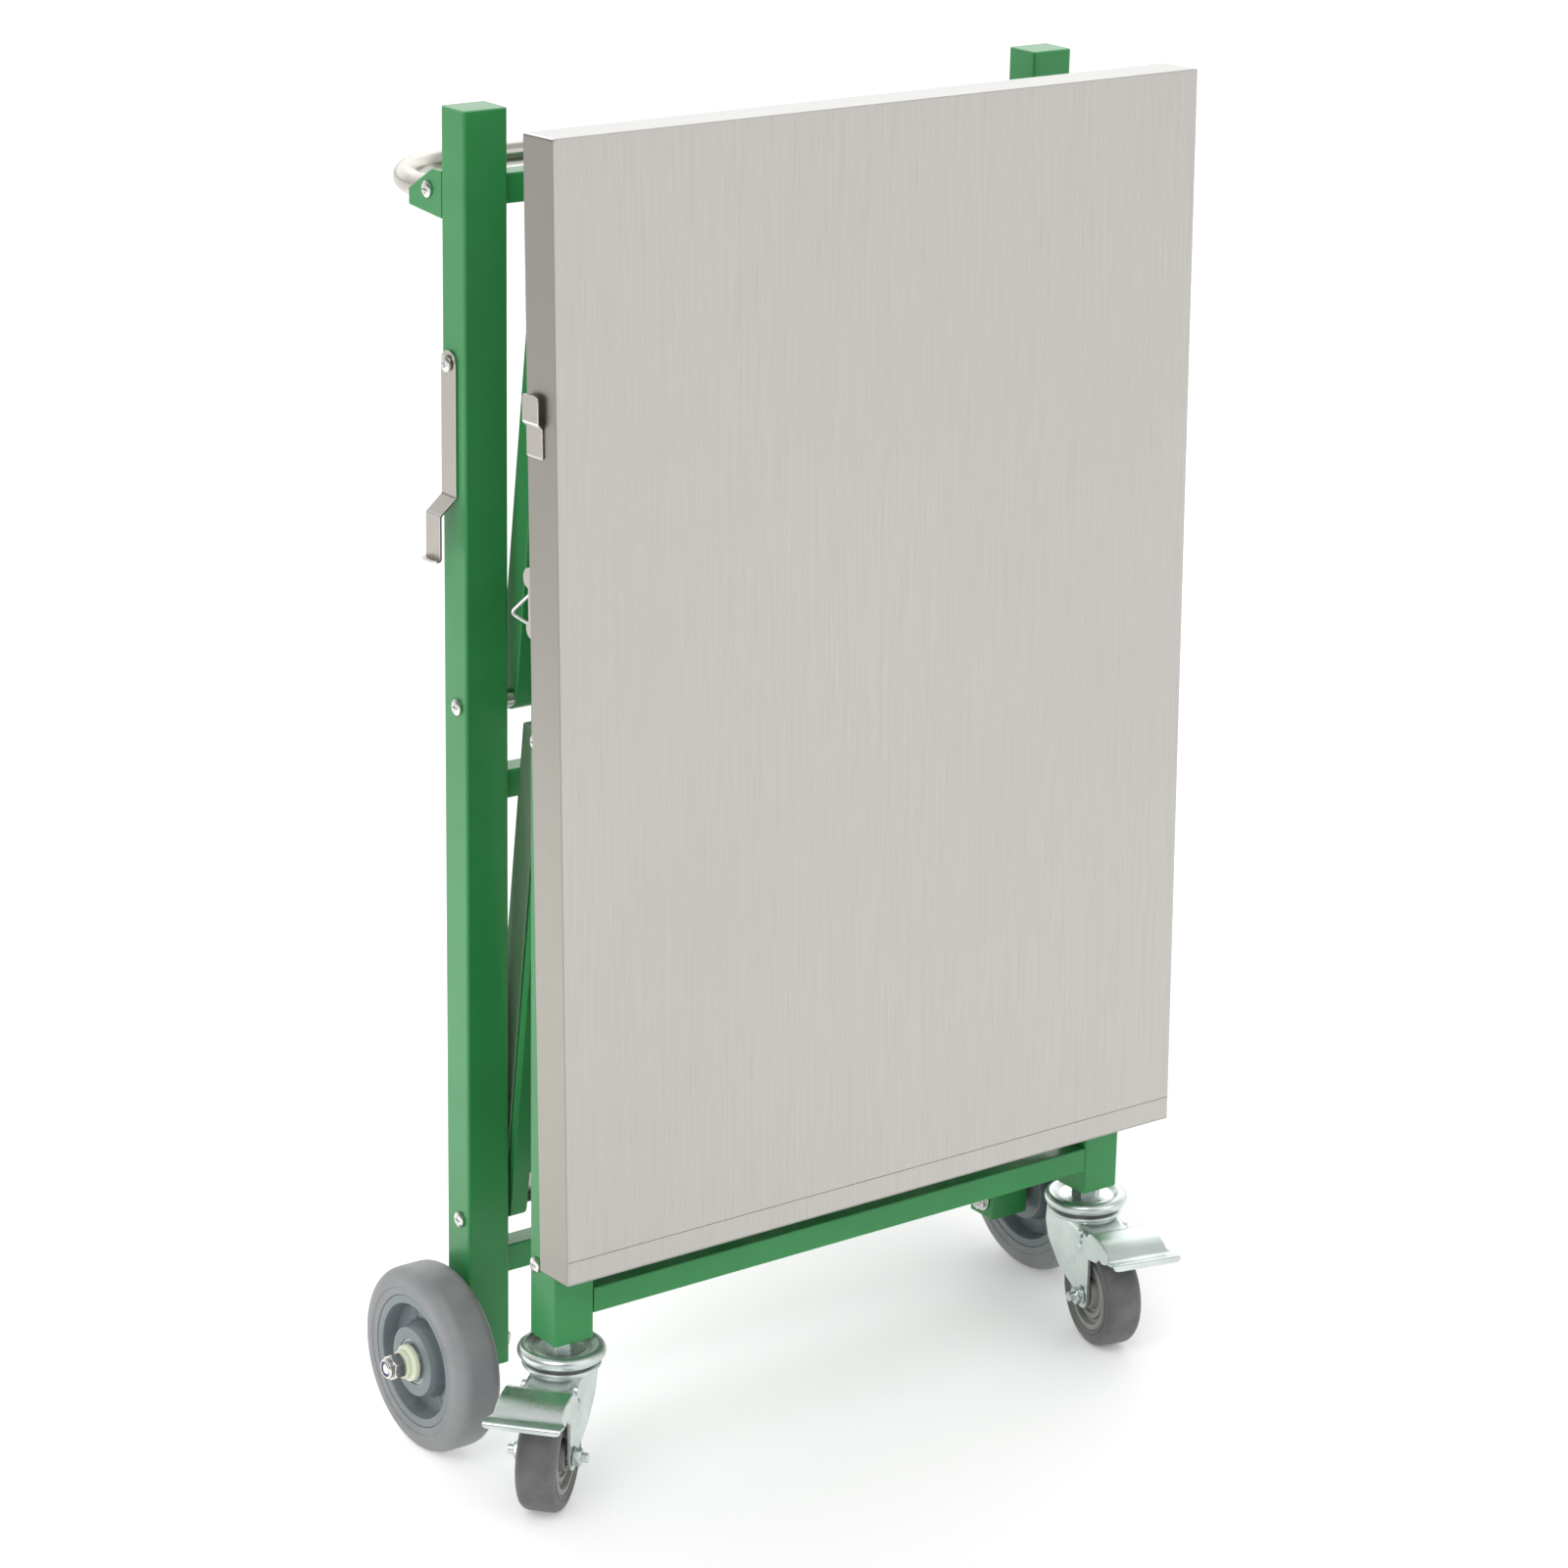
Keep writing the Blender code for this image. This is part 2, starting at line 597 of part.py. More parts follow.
def rear_wheels():
    """Fixed wheels: axle, nylon bush, plastic rim and rubber tyre."""
    outer = WHEEL_INNER_X + WHEEL_WIDE
    bore = AXLE_RADIUS + GAP
    web_in = WHEEL_MIDDLE - WHEEL_WEB / 2
    web_out = WHEEL_MIDDLE + WHEEL_WEB / 2
    rim_in, rim_out = WHEEL_INNER_X + RIM_STEP, outer - RIM_STEP
    rim_bore = RIM_RADIUS - RIM_WALL
    tyre_bore = RIM_RADIUS + GAP
    middle_z = (0, 0, WHEEL_RADIUS)
    for word, side in SIDES:
        axle(word, side)
        bush = [(BUSH_NECK, outer + BUSH_LONG + GAP), (BUSH_NECK, outer + BUSH_FLANGE),
                (BUSH_RADIUS, outer + BUSH_FLANGE - SIDE_PLAY), (BUSH_RADIUS, outer + GAP),
                (bore, outer + GAP), (bore, outer + BUSH_LONG + GAP)]
        turned("axle_bush_" + word, bush, cart, NYLON, middle_z, outward(side), ring=True)
        spin = axis_point("wheel_axis_" + word, cart, middle_z)
        rim = [(RIM_RADIUS, rim_out), (RIM_RADIUS, rim_in), (rim_bore, rim_in), (rim_bore, web_in),
               (HUB_RADIUS, web_in), (HUB_RADIUS, WHEEL_INNER_X), (bore, WHEEL_INNER_X), (bore, outer),
               (HUB_RADIUS, outer), (HUB_RADIUS, web_out), (rim_bore, web_out), (rim_bore, rim_out)]
        turned("rear_rim_" + word, rim, spin, GREY_RIM, (0, 0, 0), outward(side), ROUND_LARGE, True)
        shoulder = WHEEL_RADIUS - TYRE_SHOULDER
        tyre = arc((shoulder, outer - TYRE_SHOULDER), TYRE_SHOULDER, 90, 0, 3)
        tyre += arc((shoulder, WHEEL_INNER_X + TYRE_SHOULDER), TYRE_SHOULDER, 0, -90, 3)
        tyre += [(tyre_bore, WHEEL_INNER_X), (tyre_bore, outer)]
        turned("rear_tyre_" + word, tyre, spin, GREY_TYRE, (0, 0, 0), outward(side), ROUND_LARGE, True)


def rear_pivot_bolts():
    """Bolts through the rear posts that the two links turn on."""
    for word, side in SIDES:
        tube_inner = UPPER_REAR_HALF - UPPER_TUBE
        pan_bolt("upper_pivot_bolt_" + word, cart, side, PIVOT_BACK, UPPER_PIVOT_Z, POST_HALF_SPAN,
                 tube_inner - GAP - NUT_TALL,
                 (POST_INNER - GAP, UPPER_REAR_HALF + GAP, WASHER_RADIUS))
        pan_bolt("lower_pivot_bolt_" + word, cart, side, PIVOT_BACK, LOWER_PIVOT_Z, POST_HALF_SPAN,
                 SHELF_REAR_HALF - CHANNEL_WALL - GAP - NUT_TALL,
                 (POST_INNER - GAP, SHELF_REAR_HALF + GAP, BOLT_RADIUS + SIDE_PLAY))


def lock_hook():
    """A bent strap that swings on one screw and drops into the keeper on the table top."""
    axis = axis_point("hook_axis", cart, (-POST_HALF_SPAN, HOOK_BACK, HOOK_Z))
    half = HOOK_WIDE / 2
    inner, thick = GAP, HOOK_THICK
    low = -HOOK_LONG
    section = [(-inner, half), (-inner, -HOOK_FLAT), (-inner - HOOK_JOG, -HOOK_FLAT - HOOK_JOG_DROP),
               (-inner - HOOK_JOG, low), (-inner - HOOK_JOG - HOOK_LIP, low),
               (-inner - HOOK_JOG - HOOK_LIP, low + thick), (-inner - HOOK_JOG - thick, low + thick),
               (-inner - HOOK_JOG - thick, -HOOK_FLAT - HOOK_JOG_DROP + thick / 2),
               (-inner - thick, -HOOK_FLAT + thick / 2), (-inner - thick, half)]
    strap = plate("lock_hook", section, -half, half, axis, STAINLESS)
    strap.rotation_euler = (math.pi / 2, 0, 0)
    strap.location = (0, 0, 0)
    outline = [(half, low - OVERRUN), (half, 0)] + arc((0, 0), half, 0, 180, 10)[1:]
    outline += [(-half, low - OVERRUN)]
    blank = plate("lock_hook_outline", outline, -inner - HOOK_JOG - HOOK_LIP - OVERRUN, 0, axis, GREEN)
    boolean(strap, blank, "INTERSECT")
    cross_hole(strap, axis, 0, 0, BOLT_RADIUS + GAP, -inner - thick - OVERRUN, OVERRUN)
    pan_bolt("hook_screw", cart, -1, HOOK_BACK, HOOK_Z, POST_HALF_SPAN + HOOK_THICK + 2 * GAP,
             POST_HALF_SPAN - POST_WIDE / 2, nut=False)


def upper_link(name, parent, face, half_width):
    """Half of the upper link: two square tubes and a cross tube. Its own Z runs along the link."""
    low_y, high_y = sorted((face * (UPPER_TUBE_RISE - UPPER_HALF), face * (UPPER_TUBE_RISE + UPPER_HALF)))
    inner = half_width - UPPER_TUBE
    middle_y = face * UPPER_TUBE_RISE
    outline = arc((middle_y, 0), UPPER_HALF, 180, 360, 4) + arc((middle_y, LINK), UPPER_HALF, 0, 180, 4)
    frame = plate(name, outline, half_width - UPPER_TUBE, half_width, parent, GREEN)
    bevelled(frame, UPPER_EDGE)
    other = plate(name + "_side", outline, -half_width, UPPER_TUBE - half_width, parent, GREEN)
    bevelled(other, UPPER_EDGE)
    boolean(frame, other, "UNION")
    for z in (UPPER_CROSS_INSET, LINK - UPPER_CROSS_INSET):
        weld_box(frame, parent, (-inner - OVERRUN, low_y + BAR_EDGE, z - UPPER_HALF),
                 (inner + OVERRUN, high_y - BAR_EDGE, z + UPPER_HALF))
        hollow = UPPER_HALF - TUBE_WALL
        cut_box(frame, parent, (-inner - UPPER_HALF, middle_y - hollow + BAR_EDGE, z - hollow),
                (inner + UPPER_HALF, middle_y + hollow - BAR_EDGE, z + hollow))
    for side in (-1, 1):
        low_x, high_x = sorted((side * (half_width - TUBE_WALL), side * (inner + TUBE_WALL)))
        cut_box(frame, parent, (low_x, low_y + TUBE_WALL, 0), (high_x, high_y - TUBE_WALL, LINK))
    for z in (0, LINK):
        cross_hole(frame, parent, 0, z, BOLT_RADIUS + GAP if z == 0 else HINGE_ROD_RADIUS + GAP,
                   -half_width - OVERRUN, half_width + OVERRUN)
    return frame


def shelf_half(word, parent, face, channel_half):
    """Half of the lower shelf: a tray over two channels and cross strips; the rear has the rod."""
    rise = face * SHELF_RISE
    under = SHELF_RISE - SHEET - GAP
    top_end = LINK - SIDE_PLAY / 2
    low_y, high_y = sorted((0, rise))
    mesh = box_mesh((-SHELF_HALF_WIDTH, low_y, -SHELF_OVERHANG), (SHELF_HALF_WIDTH, high_y, top_end),
                    [(0, -face, 0)])
    tray = walled(bevelled(piece("lower_tray_" + word, mesh, parent, STAINLESS), SHEET_EDGE), SHEET)
    inner = SHELF_HALF_WIDTH - SHEET - GAP
    end_y = face * (SHELF_RISE - SHELF_END_LIP)
    lows, highs = sorted((-face * OVERRUN, end_y))
    cut_box(tray, parent, (-inner, lows, -SHELF_OVERHANG - OVERRUN), (inner, highs, top_end + OVERRUN))
    cross_hole(tray, parent, 0, 0, BOLT_RADIUS + 2 * SIDE_PLAY, -SHELF_HALF_WIDTH - OVERRUN,
               SHELF_HALF_WIDTH + OVERRUN)
    eye = RAIL_TALL_BELOW
    outline = arc((0, 0), eye, 0, -180, 8)
    outline += [(x, z) for x, z in reversed(arc((0, LINK), eye, 0, 180, 8))]
    outline += [(eye, LINK - 2 * SIDE_PLAY), (under, LINK - 2 * SIDE_PLAY), (under, 0), (eye, 0)]
    outline = [(face * y, z) for y, z in dict.fromkeys(outline)]
    web_inner = channel_half - CHANNEL_WALL
    flange_inner = channel_half - CHANNEL_WIDE
    frame = plate("lower_frame_" + word, outline, flange_inner, channel_half, parent, GREEN)
    other = plate("lower_frame_side", outline, -channel_half, -flange_inner, parent, GREEN)
    boolean(frame, other, "UNION")
    lows, highs = sorted((-face * (eye - CHANNEL_WALL), face * (under - CHANNEL_WALL)))
    cut_box(frame, parent, (-web_inner, lows, -eye - OVERRUN), (web_inner, highs, LINK + eye + OVERRUN))
    lows, highs = sorted((face * (under - GAP), face * (under - STRIP_THICK)))
    for z in (STRIP_WIDE, LINK / 2, LINK - 2 * STRIP_WIDE):
        weld_box(frame, parent, (-web_inner - CHANNEL_WALL / 2, lows, z - STRIP_WIDE / 2),
                 (web_inner + CHANNEL_WALL / 2, highs, z + STRIP_WIDE / 2))
    span = channel_half + OVERRUN
    cross_hole(frame, parent, 0, 0, BOLT_RADIUS + GAP, -span, span)
    if face > 0:
        rod = cylinder_mesh(HINGE_ROD_RADIUS, CHANNEL_WALL / 2 - channel_half,
                            channel_half - CHANNEL_WALL / 2, ROUND_SMALL)
        boolean(frame, piece("hinge_rod", rod, parent, GREEN, (0, 0, LINK), outward(1)), "UNION")
    else:
        cross_hole(frame, parent, 0, LINK, HINGE_ROD_RADIUS + GAP, -span, span)
    return frame


def upper_hinge_rod(parent, half_long):
    """The rod at the middle of the upper link, riveted over at both ends."""
    rod = HINGE_ROD_RADIUS
    head, tall = rod * 1.5, rod * 0.5
    end = [(0, half_long), (head * 0.8, half_long), (head, half_long - tall * 0.4),
           (head, half_long - tall), (rod, half_long - tall)]
    profile = end + [(radius, -height) for radius, height in reversed(end)]
    turned("upper_hinge_rod", profile, parent, BOLT_STEEL, (0, 0, LINK), outward(1), ROUND_SMALL)


def front_posts(frame):
    """The front posts with an ear on top for the table's turning shaft, and their crossbars."""
    for word, side in SIDES:
        low_x, high_x = sorted((side * FRONT_INNER, side * FRONT_HALF_SPAN))
        mesh = box_mesh((low_x, FRONT_FACE_Y, FRONT_FOOT), (high_x, FRONT_REAR_Y, FRONT_TOP))
        post = bevelled(piece("front_post_" + word, mesh, frame, GREEN), POST_EDGE)
        cut_box(post, frame,
                (low_x + TUBE_WALL, FRONT_FACE_Y + TUBE_WALL, FRONT_FOOT + 2 * TUBE_WALL),
                (high_x - TUBE_WALL, FRONT_REAR_Y - TUBE_WALL, FRONT_TOP - TUBE_WALL))
        foot = EAR_RADIUS * math.sqrt(0.5)
        outline = [(FRONT_FACE_Y + POST_EDGE, FRONT_TOP - TUBE_WALL),
                   (FRONT_FACE_Y + POST_EDGE + EAR_FOOT, FRONT_TOP - TUBE_WALL),
                   (FRONT_FACE_Y + POST_EDGE + EAR_FOOT, FRONT_TOP + TUBE_WALL)]
        outline += arc((TURN_AXIS_Y, TURN_AXIS_Z), EAR_RADIUS, 45, 225, 9)
        ear_x = side * SLIDE_RAIL_X
        ear = plate("front_ear", outline, ear_x - EAR_THICK / 2, ear_x + EAR_THICK / 2, frame, GREEN)
        boolean(post, ear, "UNION")
        cross_hole(post, frame, TURN_AXIS_Y, TURN_AXIS_Z, SHAFT_RADIUS + GAP,
                   ear_x - EAR_THICK - OVERRUN, ear_x + EAR_THICK + OVERRUN, ROUND_SMALL)
        for z in (UPPER_PIVOT_Z, LOWER_PIVOT_Z):
            cross_hole(post, frame, FRONT_PIVOT_Y, z, BOLT_RADIUS + GAP, low_x - OVERRUN, high_x + OVERRUN)
        bore = (STEM_RADIUS + GAP) / math.cos(math.pi / ROUND_MEDIUM)
        stem = cylinder_mesh(bore, FRONT_FOOT - OVERRUN, FRONT_FOOT + STEM_UP / 2, ROUND_MEDIUM)
        drill = piece("stem_hole", stem, frame, GREEN, (side * SWIVEL_X, FRONT_MIDDLE_Y, 0))
        boolean(post, drill, "DIFFERENCE")
    crossbar("front_crossbar_lower", frame, FRONT_INNER, FRONT_FACE_Y + FRONT_BAR_DEEP / 2, FRONT_BAR_DEEP,
             FRONT_BAR_TOP, FRONT_BAR_TALL)
    crossbar("front_crossbar_upper", frame, FRONT_INNER, FRONT_FACE_Y + FRONT_UPPER_BAR_DEEP / 2,
             FRONT_UPPER_BAR_DEEP, FRONT_TOP - FRONT_UPPER_BAR_DROP, FRONT_BAR_TALL)


def front_pivot_bolts(frame):
    """Bolts through the front posts that the two links turn on."""
    for word, side in SIDES:
        pan_bolt("front_bolt_upper_" + word, frame, side, FRONT_PIVOT_Y, UPPER_PIVOT_Z, FRONT_HALF_SPAN,
                 UPPER_FRONT_HALF - UPPER_TUBE - GAP - NUT_TALL,
                 (FRONT_INNER - GAP, UPPER_FRONT_HALF + GAP, WASHER_RADIUS))
        pan_bolt("front_bolt_lower_" + word, frame, side, FRONT_PIVOT_Y, LOWER_PIVOT_Z, FRONT_HALF_SPAN,
                 SHELF_FRONT_HALF - CHANNEL_WALL - GAP - NUT_TALL,
                 (SHELF_HALF_WIDTH - SHEET - SIDE_PLAY, SHELF_FRONT_HALF + GAP, BOLT_RADIUS + SIDE_PLAY))


def slide_carriages(turner):
    """A short shaft through each front post's ear, with two shoes that run in the table's rail."""
    front = SHEET + GAP + SLIDE_RAIL_WALL + SHOE_PLAY - TURN_AXIS_DEPTH
    rear = SLIDE_RAIL_DEPTH - SLIDE_RAIL_WALL - SHOE_PLAY - TURN_AXIS_DEPTH
    inner = EAR_THICK / 2 + SIDE_PLAY / 2
    reach = inner + SHOE_THICK - SIDE_PLAY
    for word, side in SIDES:
        middle = side * SLIDE_RAIL_X
        mesh = cylinder_mesh(SHAFT_RADIUS, middle - reach, middle + reach, ROUND_SMALL)
        carriage = piece("slide_carriage_" + word, mesh, turner, BOLT_STEEL, (0, 0, 0), outward(1))
        for way in (-1, 1):
            low_x, high_x = sorted((middle + way * inner, middle + way * (inner + SHOE_THICK)))
            weld_box(carriage, turner, (low_x, front, -SHOE_LONG / 2), (high_x, rear, SHOE_LONG / 2))


def table_top(slide):
    """The stainless tray that is the table top, and the two channels that it slides on."""
    bottom = -TOP_BELOW_AXIS
    top = TOP_LONG - TOP_BELOW_AXIS
    face = -TURN_AXIS_DEPTH
    half = TOP_WIDE / 2
    mesh = box_mesh((-half, face, bottom), (half, face + TOP_THICK, top), [(0, 1, 0)])
    tray = walled(bevelled(piece("top_tray", mesh, slide, STAINLESS), TOP_EDGE), SHEET)
    cut_box(tray, slide, (-half + SHEET + GAP, face + TOP_END_LIP, bottom - OVERRUN),
            (half - SHEET - GAP, face + TOP_THICK + OVERRUN, bottom + SHEET + OVERRUN))
    for word, side in SIDES:
        x = side * SLIDE_RAIL_X
        low = (x - SLIDE_RAIL_WIDE / 2, face + SHEET + GAP, bottom + SHEET + SIDE_PLAY)
        high = (x + SLIDE_RAIL_WIDE / 2, face + SLIDE_RAIL_DEPTH, SHOE_LONG / 2 + OVERRUN)
        rail = piece("slide_rail_" + word, box_mesh(low, high, [(0, 0, 1), (0, 0, -1)]), slide, STAINLESS)
        walled(rail, SLIDE_RAIL_WALL)
        cut_box(rail, slide, (x - SLIDE_SLOT / 2, high[1] - SLIDE_RAIL_WALL - OVERRUN, low[2] - OVERRUN),
                (x + SLIDE_SLOT / 2, high[1] + OVERRUN, high[2] + OVERRUN))


def keeper_clip(slide):
    """The bent plate on the left lip that the lock hook drops into."""
    step_z = HOOK_Z - HOOK_WIDE / 2 - CLIP_PLAY - TURN_AXIS_Z
    rear = TOP_THICK - TURN_AXIS_DEPTH - CLIP_BACK
    face = -TOP_WIDE / 2 - GAP
    tongue = -TOP_WIDE / 2 - CLIP_STAND_OFF
    thick = CLIP_THICK
    section = [(face, step_z - CLIP_DROP), (face, step_z - CLIP_STEP), (tongue, step_z),
               (tongue, step_z + CLIP_TONGUE), (tongue - thick, step_z + CLIP_TONGUE),
               (tongue - thick, step_z - CLIP_STEP / 4), (face - thick, step_z - CLIP_STEP * 1.25),
               (face - thick, step_z - CLIP_DROP)]
    clip = plate("keeper_clip", section, rear - CLIP_WIDE, rear, slide, STAINLESS)
    clip.rotation_euler = (math.pi / 2, 0, 0)
    clip.location = (0, rear - CLIP_WIDE / 2, 0)


def draw_latch(slide):
    """A draw latch on the inside of the left lip: riveted plate, lever and wire bail."""
    lip = -TOP_WIDE / 2 + SHEET + GAP
    rear = LATCH_PLATE_REAR
    front = rear - LATCH_PLATE_DEEP
    outline = [(front, LATCH_PLATE_LOW), (rear - LATCH_CORNER, LATCH_PLATE_LOW)]
    outline += [(rear, LATCH_PLATE_LOW + LATCH_CORNER), (rear, LATCH_PLATE_HIGH - LATCH_CORNER),
                (rear - LATCH_CORNER, LATCH_PLATE_HIGH), (front, LATCH_PLATE_HIGH)]
    base = plate("latch_plate", outline, lip, lip + LATCH_THICK, slide, STAINLESS)
    stud_y = rear - LATCH_STUD_BACK
    stud_z = LATCH_PLATE_HIGH - LATCH_STUD_DROP
    stud_end = lip + LATCH_THICK + GAP + LEVER_THICK + SIDE_PLAY
    head = lip + LATCH_THICK + LEVER_THICK + 2 * GAP
    stud = [(0, stud_end), (LATCH_STUD * 1.6, stud_end), (LATCH_STUD * 1.6, head),
            (LATCH_STUD, head), (LATCH_STUD, lip + LATCH_THICK / 2), (0, lip + LATCH_THICK / 2)]
    pin = turned("latch_stud", stud, slide, STAINLESS, (0, stud_y, stud_z), outward(1), ROUND_SMALL)
    boolean(base, pin, "UNION")
    lever_axis = axis_point("latch_lever_axis", slide, (0, stud_y, stud_z))
    outline = arc((0, 0), LEVER_HALF, 0, 180, 8)
    outline += arc((0, -LEVER_LONG + LEVER_HALF), LEVER_HALF, 180, 360, 8)
    low_x = lip + LATCH_THICK + GAP
    lever = plate("latch_lever", outline, low_x, low_x + LEVER_THICK, lever_axis, STAINLESS)
    cross_hole(lever, lever_axis, 0, 0, LATCH_STUD + GAP, low_x - OVERRUN, low_x + LEVER_THICK + OVERRUN)
    bail_x = low_x + LEVER_THICK + GAP + SIDE_PLAY + BAIL_WIRE
    peg_end = bail_x + BAIL_WIRE + SIDE_PLAY
    peg = [(0, peg_end), (BAIL_EYE - BAIL_WIRE - GAP, peg_end),
           (BAIL_EYE - BAIL_WIRE - GAP, low_x + LEVER_THICK / 2), (0, low_x + LEVER_THICK / 2)]
    pin = turned("lever_peg", peg, lever_axis, STAINLESS, (0, 0, -LEVER_PIN_ALONG), outward(1), ROUND_SMALL)
    boolean(lever, pin, "UNION")
    bail_axis = axis_point("latch_bail_axis", lever_axis, (0, 0, -LEVER_PIN_ALONG))
    corner = BAIL_WIRE * 2
    loop = arc((0, 0), BAIL_EYE, 180, 0, 6)
    loop += arc((BAIL_HALF - corner, -BAIL_LONG + corner), corner, 0, -90, 3)
    loop += arc((corner - BAIL_HALF, -BAIL_LONG + corner), corner, -90, -180, 3)
    wire("latch_bail", [(bail_x, y, z) for y, z in loop], BAIL_WIRE, bail_axis, BOLT_STEEL, 1, closed=True)


def caster(word, side, frame):
    """One swivel caster: fixed race, fork, axle, wheel and brake pedal."""
    spot = (side * SWIVEL_X, FRONT_MIDDLE_Y, FRONT_FOOT)
    aim = CASTER_AIM_LEFT if side < 0 else CASTER_AIM_RIGHT
    dish = -RACE_TOP - RACE_DISH
    roll = RACE_DEEP / 2
    race = [(0, STEM_UP), (STEM_RADIUS, STEM_UP), (STEM_RADIUS, -GAP), (STEM_NUT_RADIUS, -GAP),
            (STEM_NUT_RADIUS, dish), (RACE_DISH_RADIUS, dish)]
    race += arc((RACE_RADIUS - roll, -RACE_TOP - roll), roll, 90, -60, 3)
    race += [(RACE_RADIUS - roll, -RACE_TOP - RACE_DEEP), (0, -RACE_TOP - RACE_DEEP)]
    turned("caster_race_" + word, race, frame, ZINC, spot, (0, 0, 0), ROUND_LARGE - ROUND_SMALL)
    swivel = axis_point("swivel_axis_" + word, frame, spot, (0, 0, aim))
    plate_low = -FORK_PLATE_TOP - FORK_PLATE_TALL
    ring = [(0, -FORK_PLATE_TOP), (FORK_PLATE_RADIUS * 0.9, -FORK_PLATE_TOP),
            (FORK_PLATE_RADIUS, -FORK_PLATE_TOP - FORK_PLATE_TALL * 0.4),
            (FORK_PLATE_RADIUS, plate_low), (0, plate_low)]
    fork = turned("caster_fork_" + word, ring, swivel, ZINC, (0, 0, 0), (0, 0, 0),
                  ROUND_LARGE - ROUND_SMALL)
    fork_top = plate_low + FORK_PLATE_TALL / 3
    outer = FORK_INNER_HALF + FORK_WALL
    axle_spot = (CASTER_TRAIL, -CASTER_AXLE_DOWN)
    eye = FORK_AXLE_EYE
    front_edge = PEDAL_PIN_ALONG + 2 * PEDAL_PIN_RADIUS
    leg = [(-FORK_PLATE_RADIUS * 0.93, fork_top), (-FORK_PLATE_RADIUS * 1.06, fork_top - eye * 1.9),
           (-FORK_PLATE_RADIUS * 0.85, fork_top - eye * 3.2), (-eye * 0.6, -CASTER_AXLE_DOWN + eye * 0.9)]
    leg += arc(axle_spot, eye, 205, 360, 7)
    leg += [(CASTER_TRAIL + eye, -PEDAL_PIN_DOWN - 4 * PEDAL_PIN_RADIUS),
            (front_edge, -PEDAL_PIN_DOWN - 2 * PEDAL_PIN_RADIUS), (front_edge, fork_top)]
    for way in (-1, 1):
        low, high = sorted((way * outer, way * FORK_INNER_HALF))
        cheek = plate("fork_leg", leg, -high, -low, swivel, ZINC)
        cheek.rotation_euler = (math.pi / 2, 0, 0)
        cheek.location = (0, (low + high) / 2, 0)
        boolean(fork, cheek, "UNION")
    edge = FORK_WALL / 3
    weld_box(fork, swivel, (-FORK_PLATE_RADIUS * 0.85, edge - outer, fork_top - FORK_WALL - edge),
             (front_edge - edge, outer - edge, fork_top - edge))
    bore = (CASTER_BORE + GAP) / math.cos(math.pi / ROUND_SMALL)
    drill = piece("fork_bore", cylinder_mesh(bore, -outer - OVERRUN, outer + OVERRUN, ROUND_SMALL),
                  swivel, ZINC, (CASTER_TRAIL, 0, -CASTER_AXLE_DOWN), (math.pi / 2, 0, 0))
    boolean(fork, drill, "DIFFERENCE")
    pin_mesh = cylinder_mesh(PEDAL_PIN_RADIUS, outer - FORK_WALL / 2, PEDAL_HALF + SIDE_PLAY, ROUND_SMALL)
    for way in (-1, 1):
        pin = piece("pedal_pin", pin_mesh.copy(), swivel, ZINC, (PEDAL_PIN_ALONG, 0, -PEDAL_PIN_DOWN),
                    (-way * math.pi / 2, 0, 0))
        boolean(fork, pin, "UNION")
    caster_axle(word, swivel)
    caster_wheel(word, swivel)
    brake_pedal(word, swivel)


def caster_axle(word, swivel):
    """The caster's axle bolt, with its head on one side and its nut on the other."""
    head = FORK_INNER_HALF + FORK_WALL + GAP
    turn = (math.pi / 2, 0, 0)
    spot = (CASTER_TRAIL, 0, -CASTER_AXLE_DOWN)
    bolt = piece("caster_axle_" + word, cylinder_mesh(CASTER_BORE, -CASTER_AXLE_HALF, CASTER_AXLE_HALF,
                                                      ROUND_SMALL), swivel, ZINC, spot, turn)
    for low, high in ((head, head + CASTER_HEAD_TALL), (-head - CASTER_HEAD_TALL, -head)):
        boolean(bolt, hexagon("caster_nut", CASTER_HEAD_ACROSS, low, high, swivel, spot, turn), "UNION")


def caster_wheel(word, swivel):
    """The caster's wheel: a dished plastic rim in a rubber tyre."""
    spin = axis_point("caster_axis_" + word, swivel, (CASTER_TRAIL, 0, -CASTER_AXLE_DOWN))
    turn = (math.pi / 2, 0, 0)
    half = CASTER_WIDE / 2
    bore = CASTER_BORE + GAP
    dish = half - CASTER_RIM_DISH
    wall = CASTER_RIM_RADIUS * 0.86
    side = [(CASTER_HUB_RADIUS, half), (CASTER_HUB_RADIUS, dish), (wall, dish), (wall, half - SIDE_PLAY),
            (CASTER_RIM_RADIUS, half - SIDE_PLAY)]
    other = [(radius, -height) for radius, height in reversed(side)]
    rim = other + [(bore, -half), (bore, half)] + side
    turned("caster_rim_" + word, rim, spin, CASTER_RIM, (0, 0, 0), turn, ROUND_LARGE - ROUND_SMALL, True)
    crown = CASTER_RADIUS - CASTER_SHOULDER
    tyre = arc((crown, half - CASTER_SHOULDER), CASTER_SHOULDER, 90, 0, 3)
    tyre += arc((crown, CASTER_SHOULDER - half), CASTER_SHOULDER, 0, -90, 3)
    tyre += [(CASTER_RIM_RADIUS + GAP, -half), (CASTER_RIM_RADIUS + GAP, half)]
    turned("caster_tyre_" + word, tyre, spin, DARK_TYRE, (0, 0, 0), turn, ROUND_LARGE - 4, True)


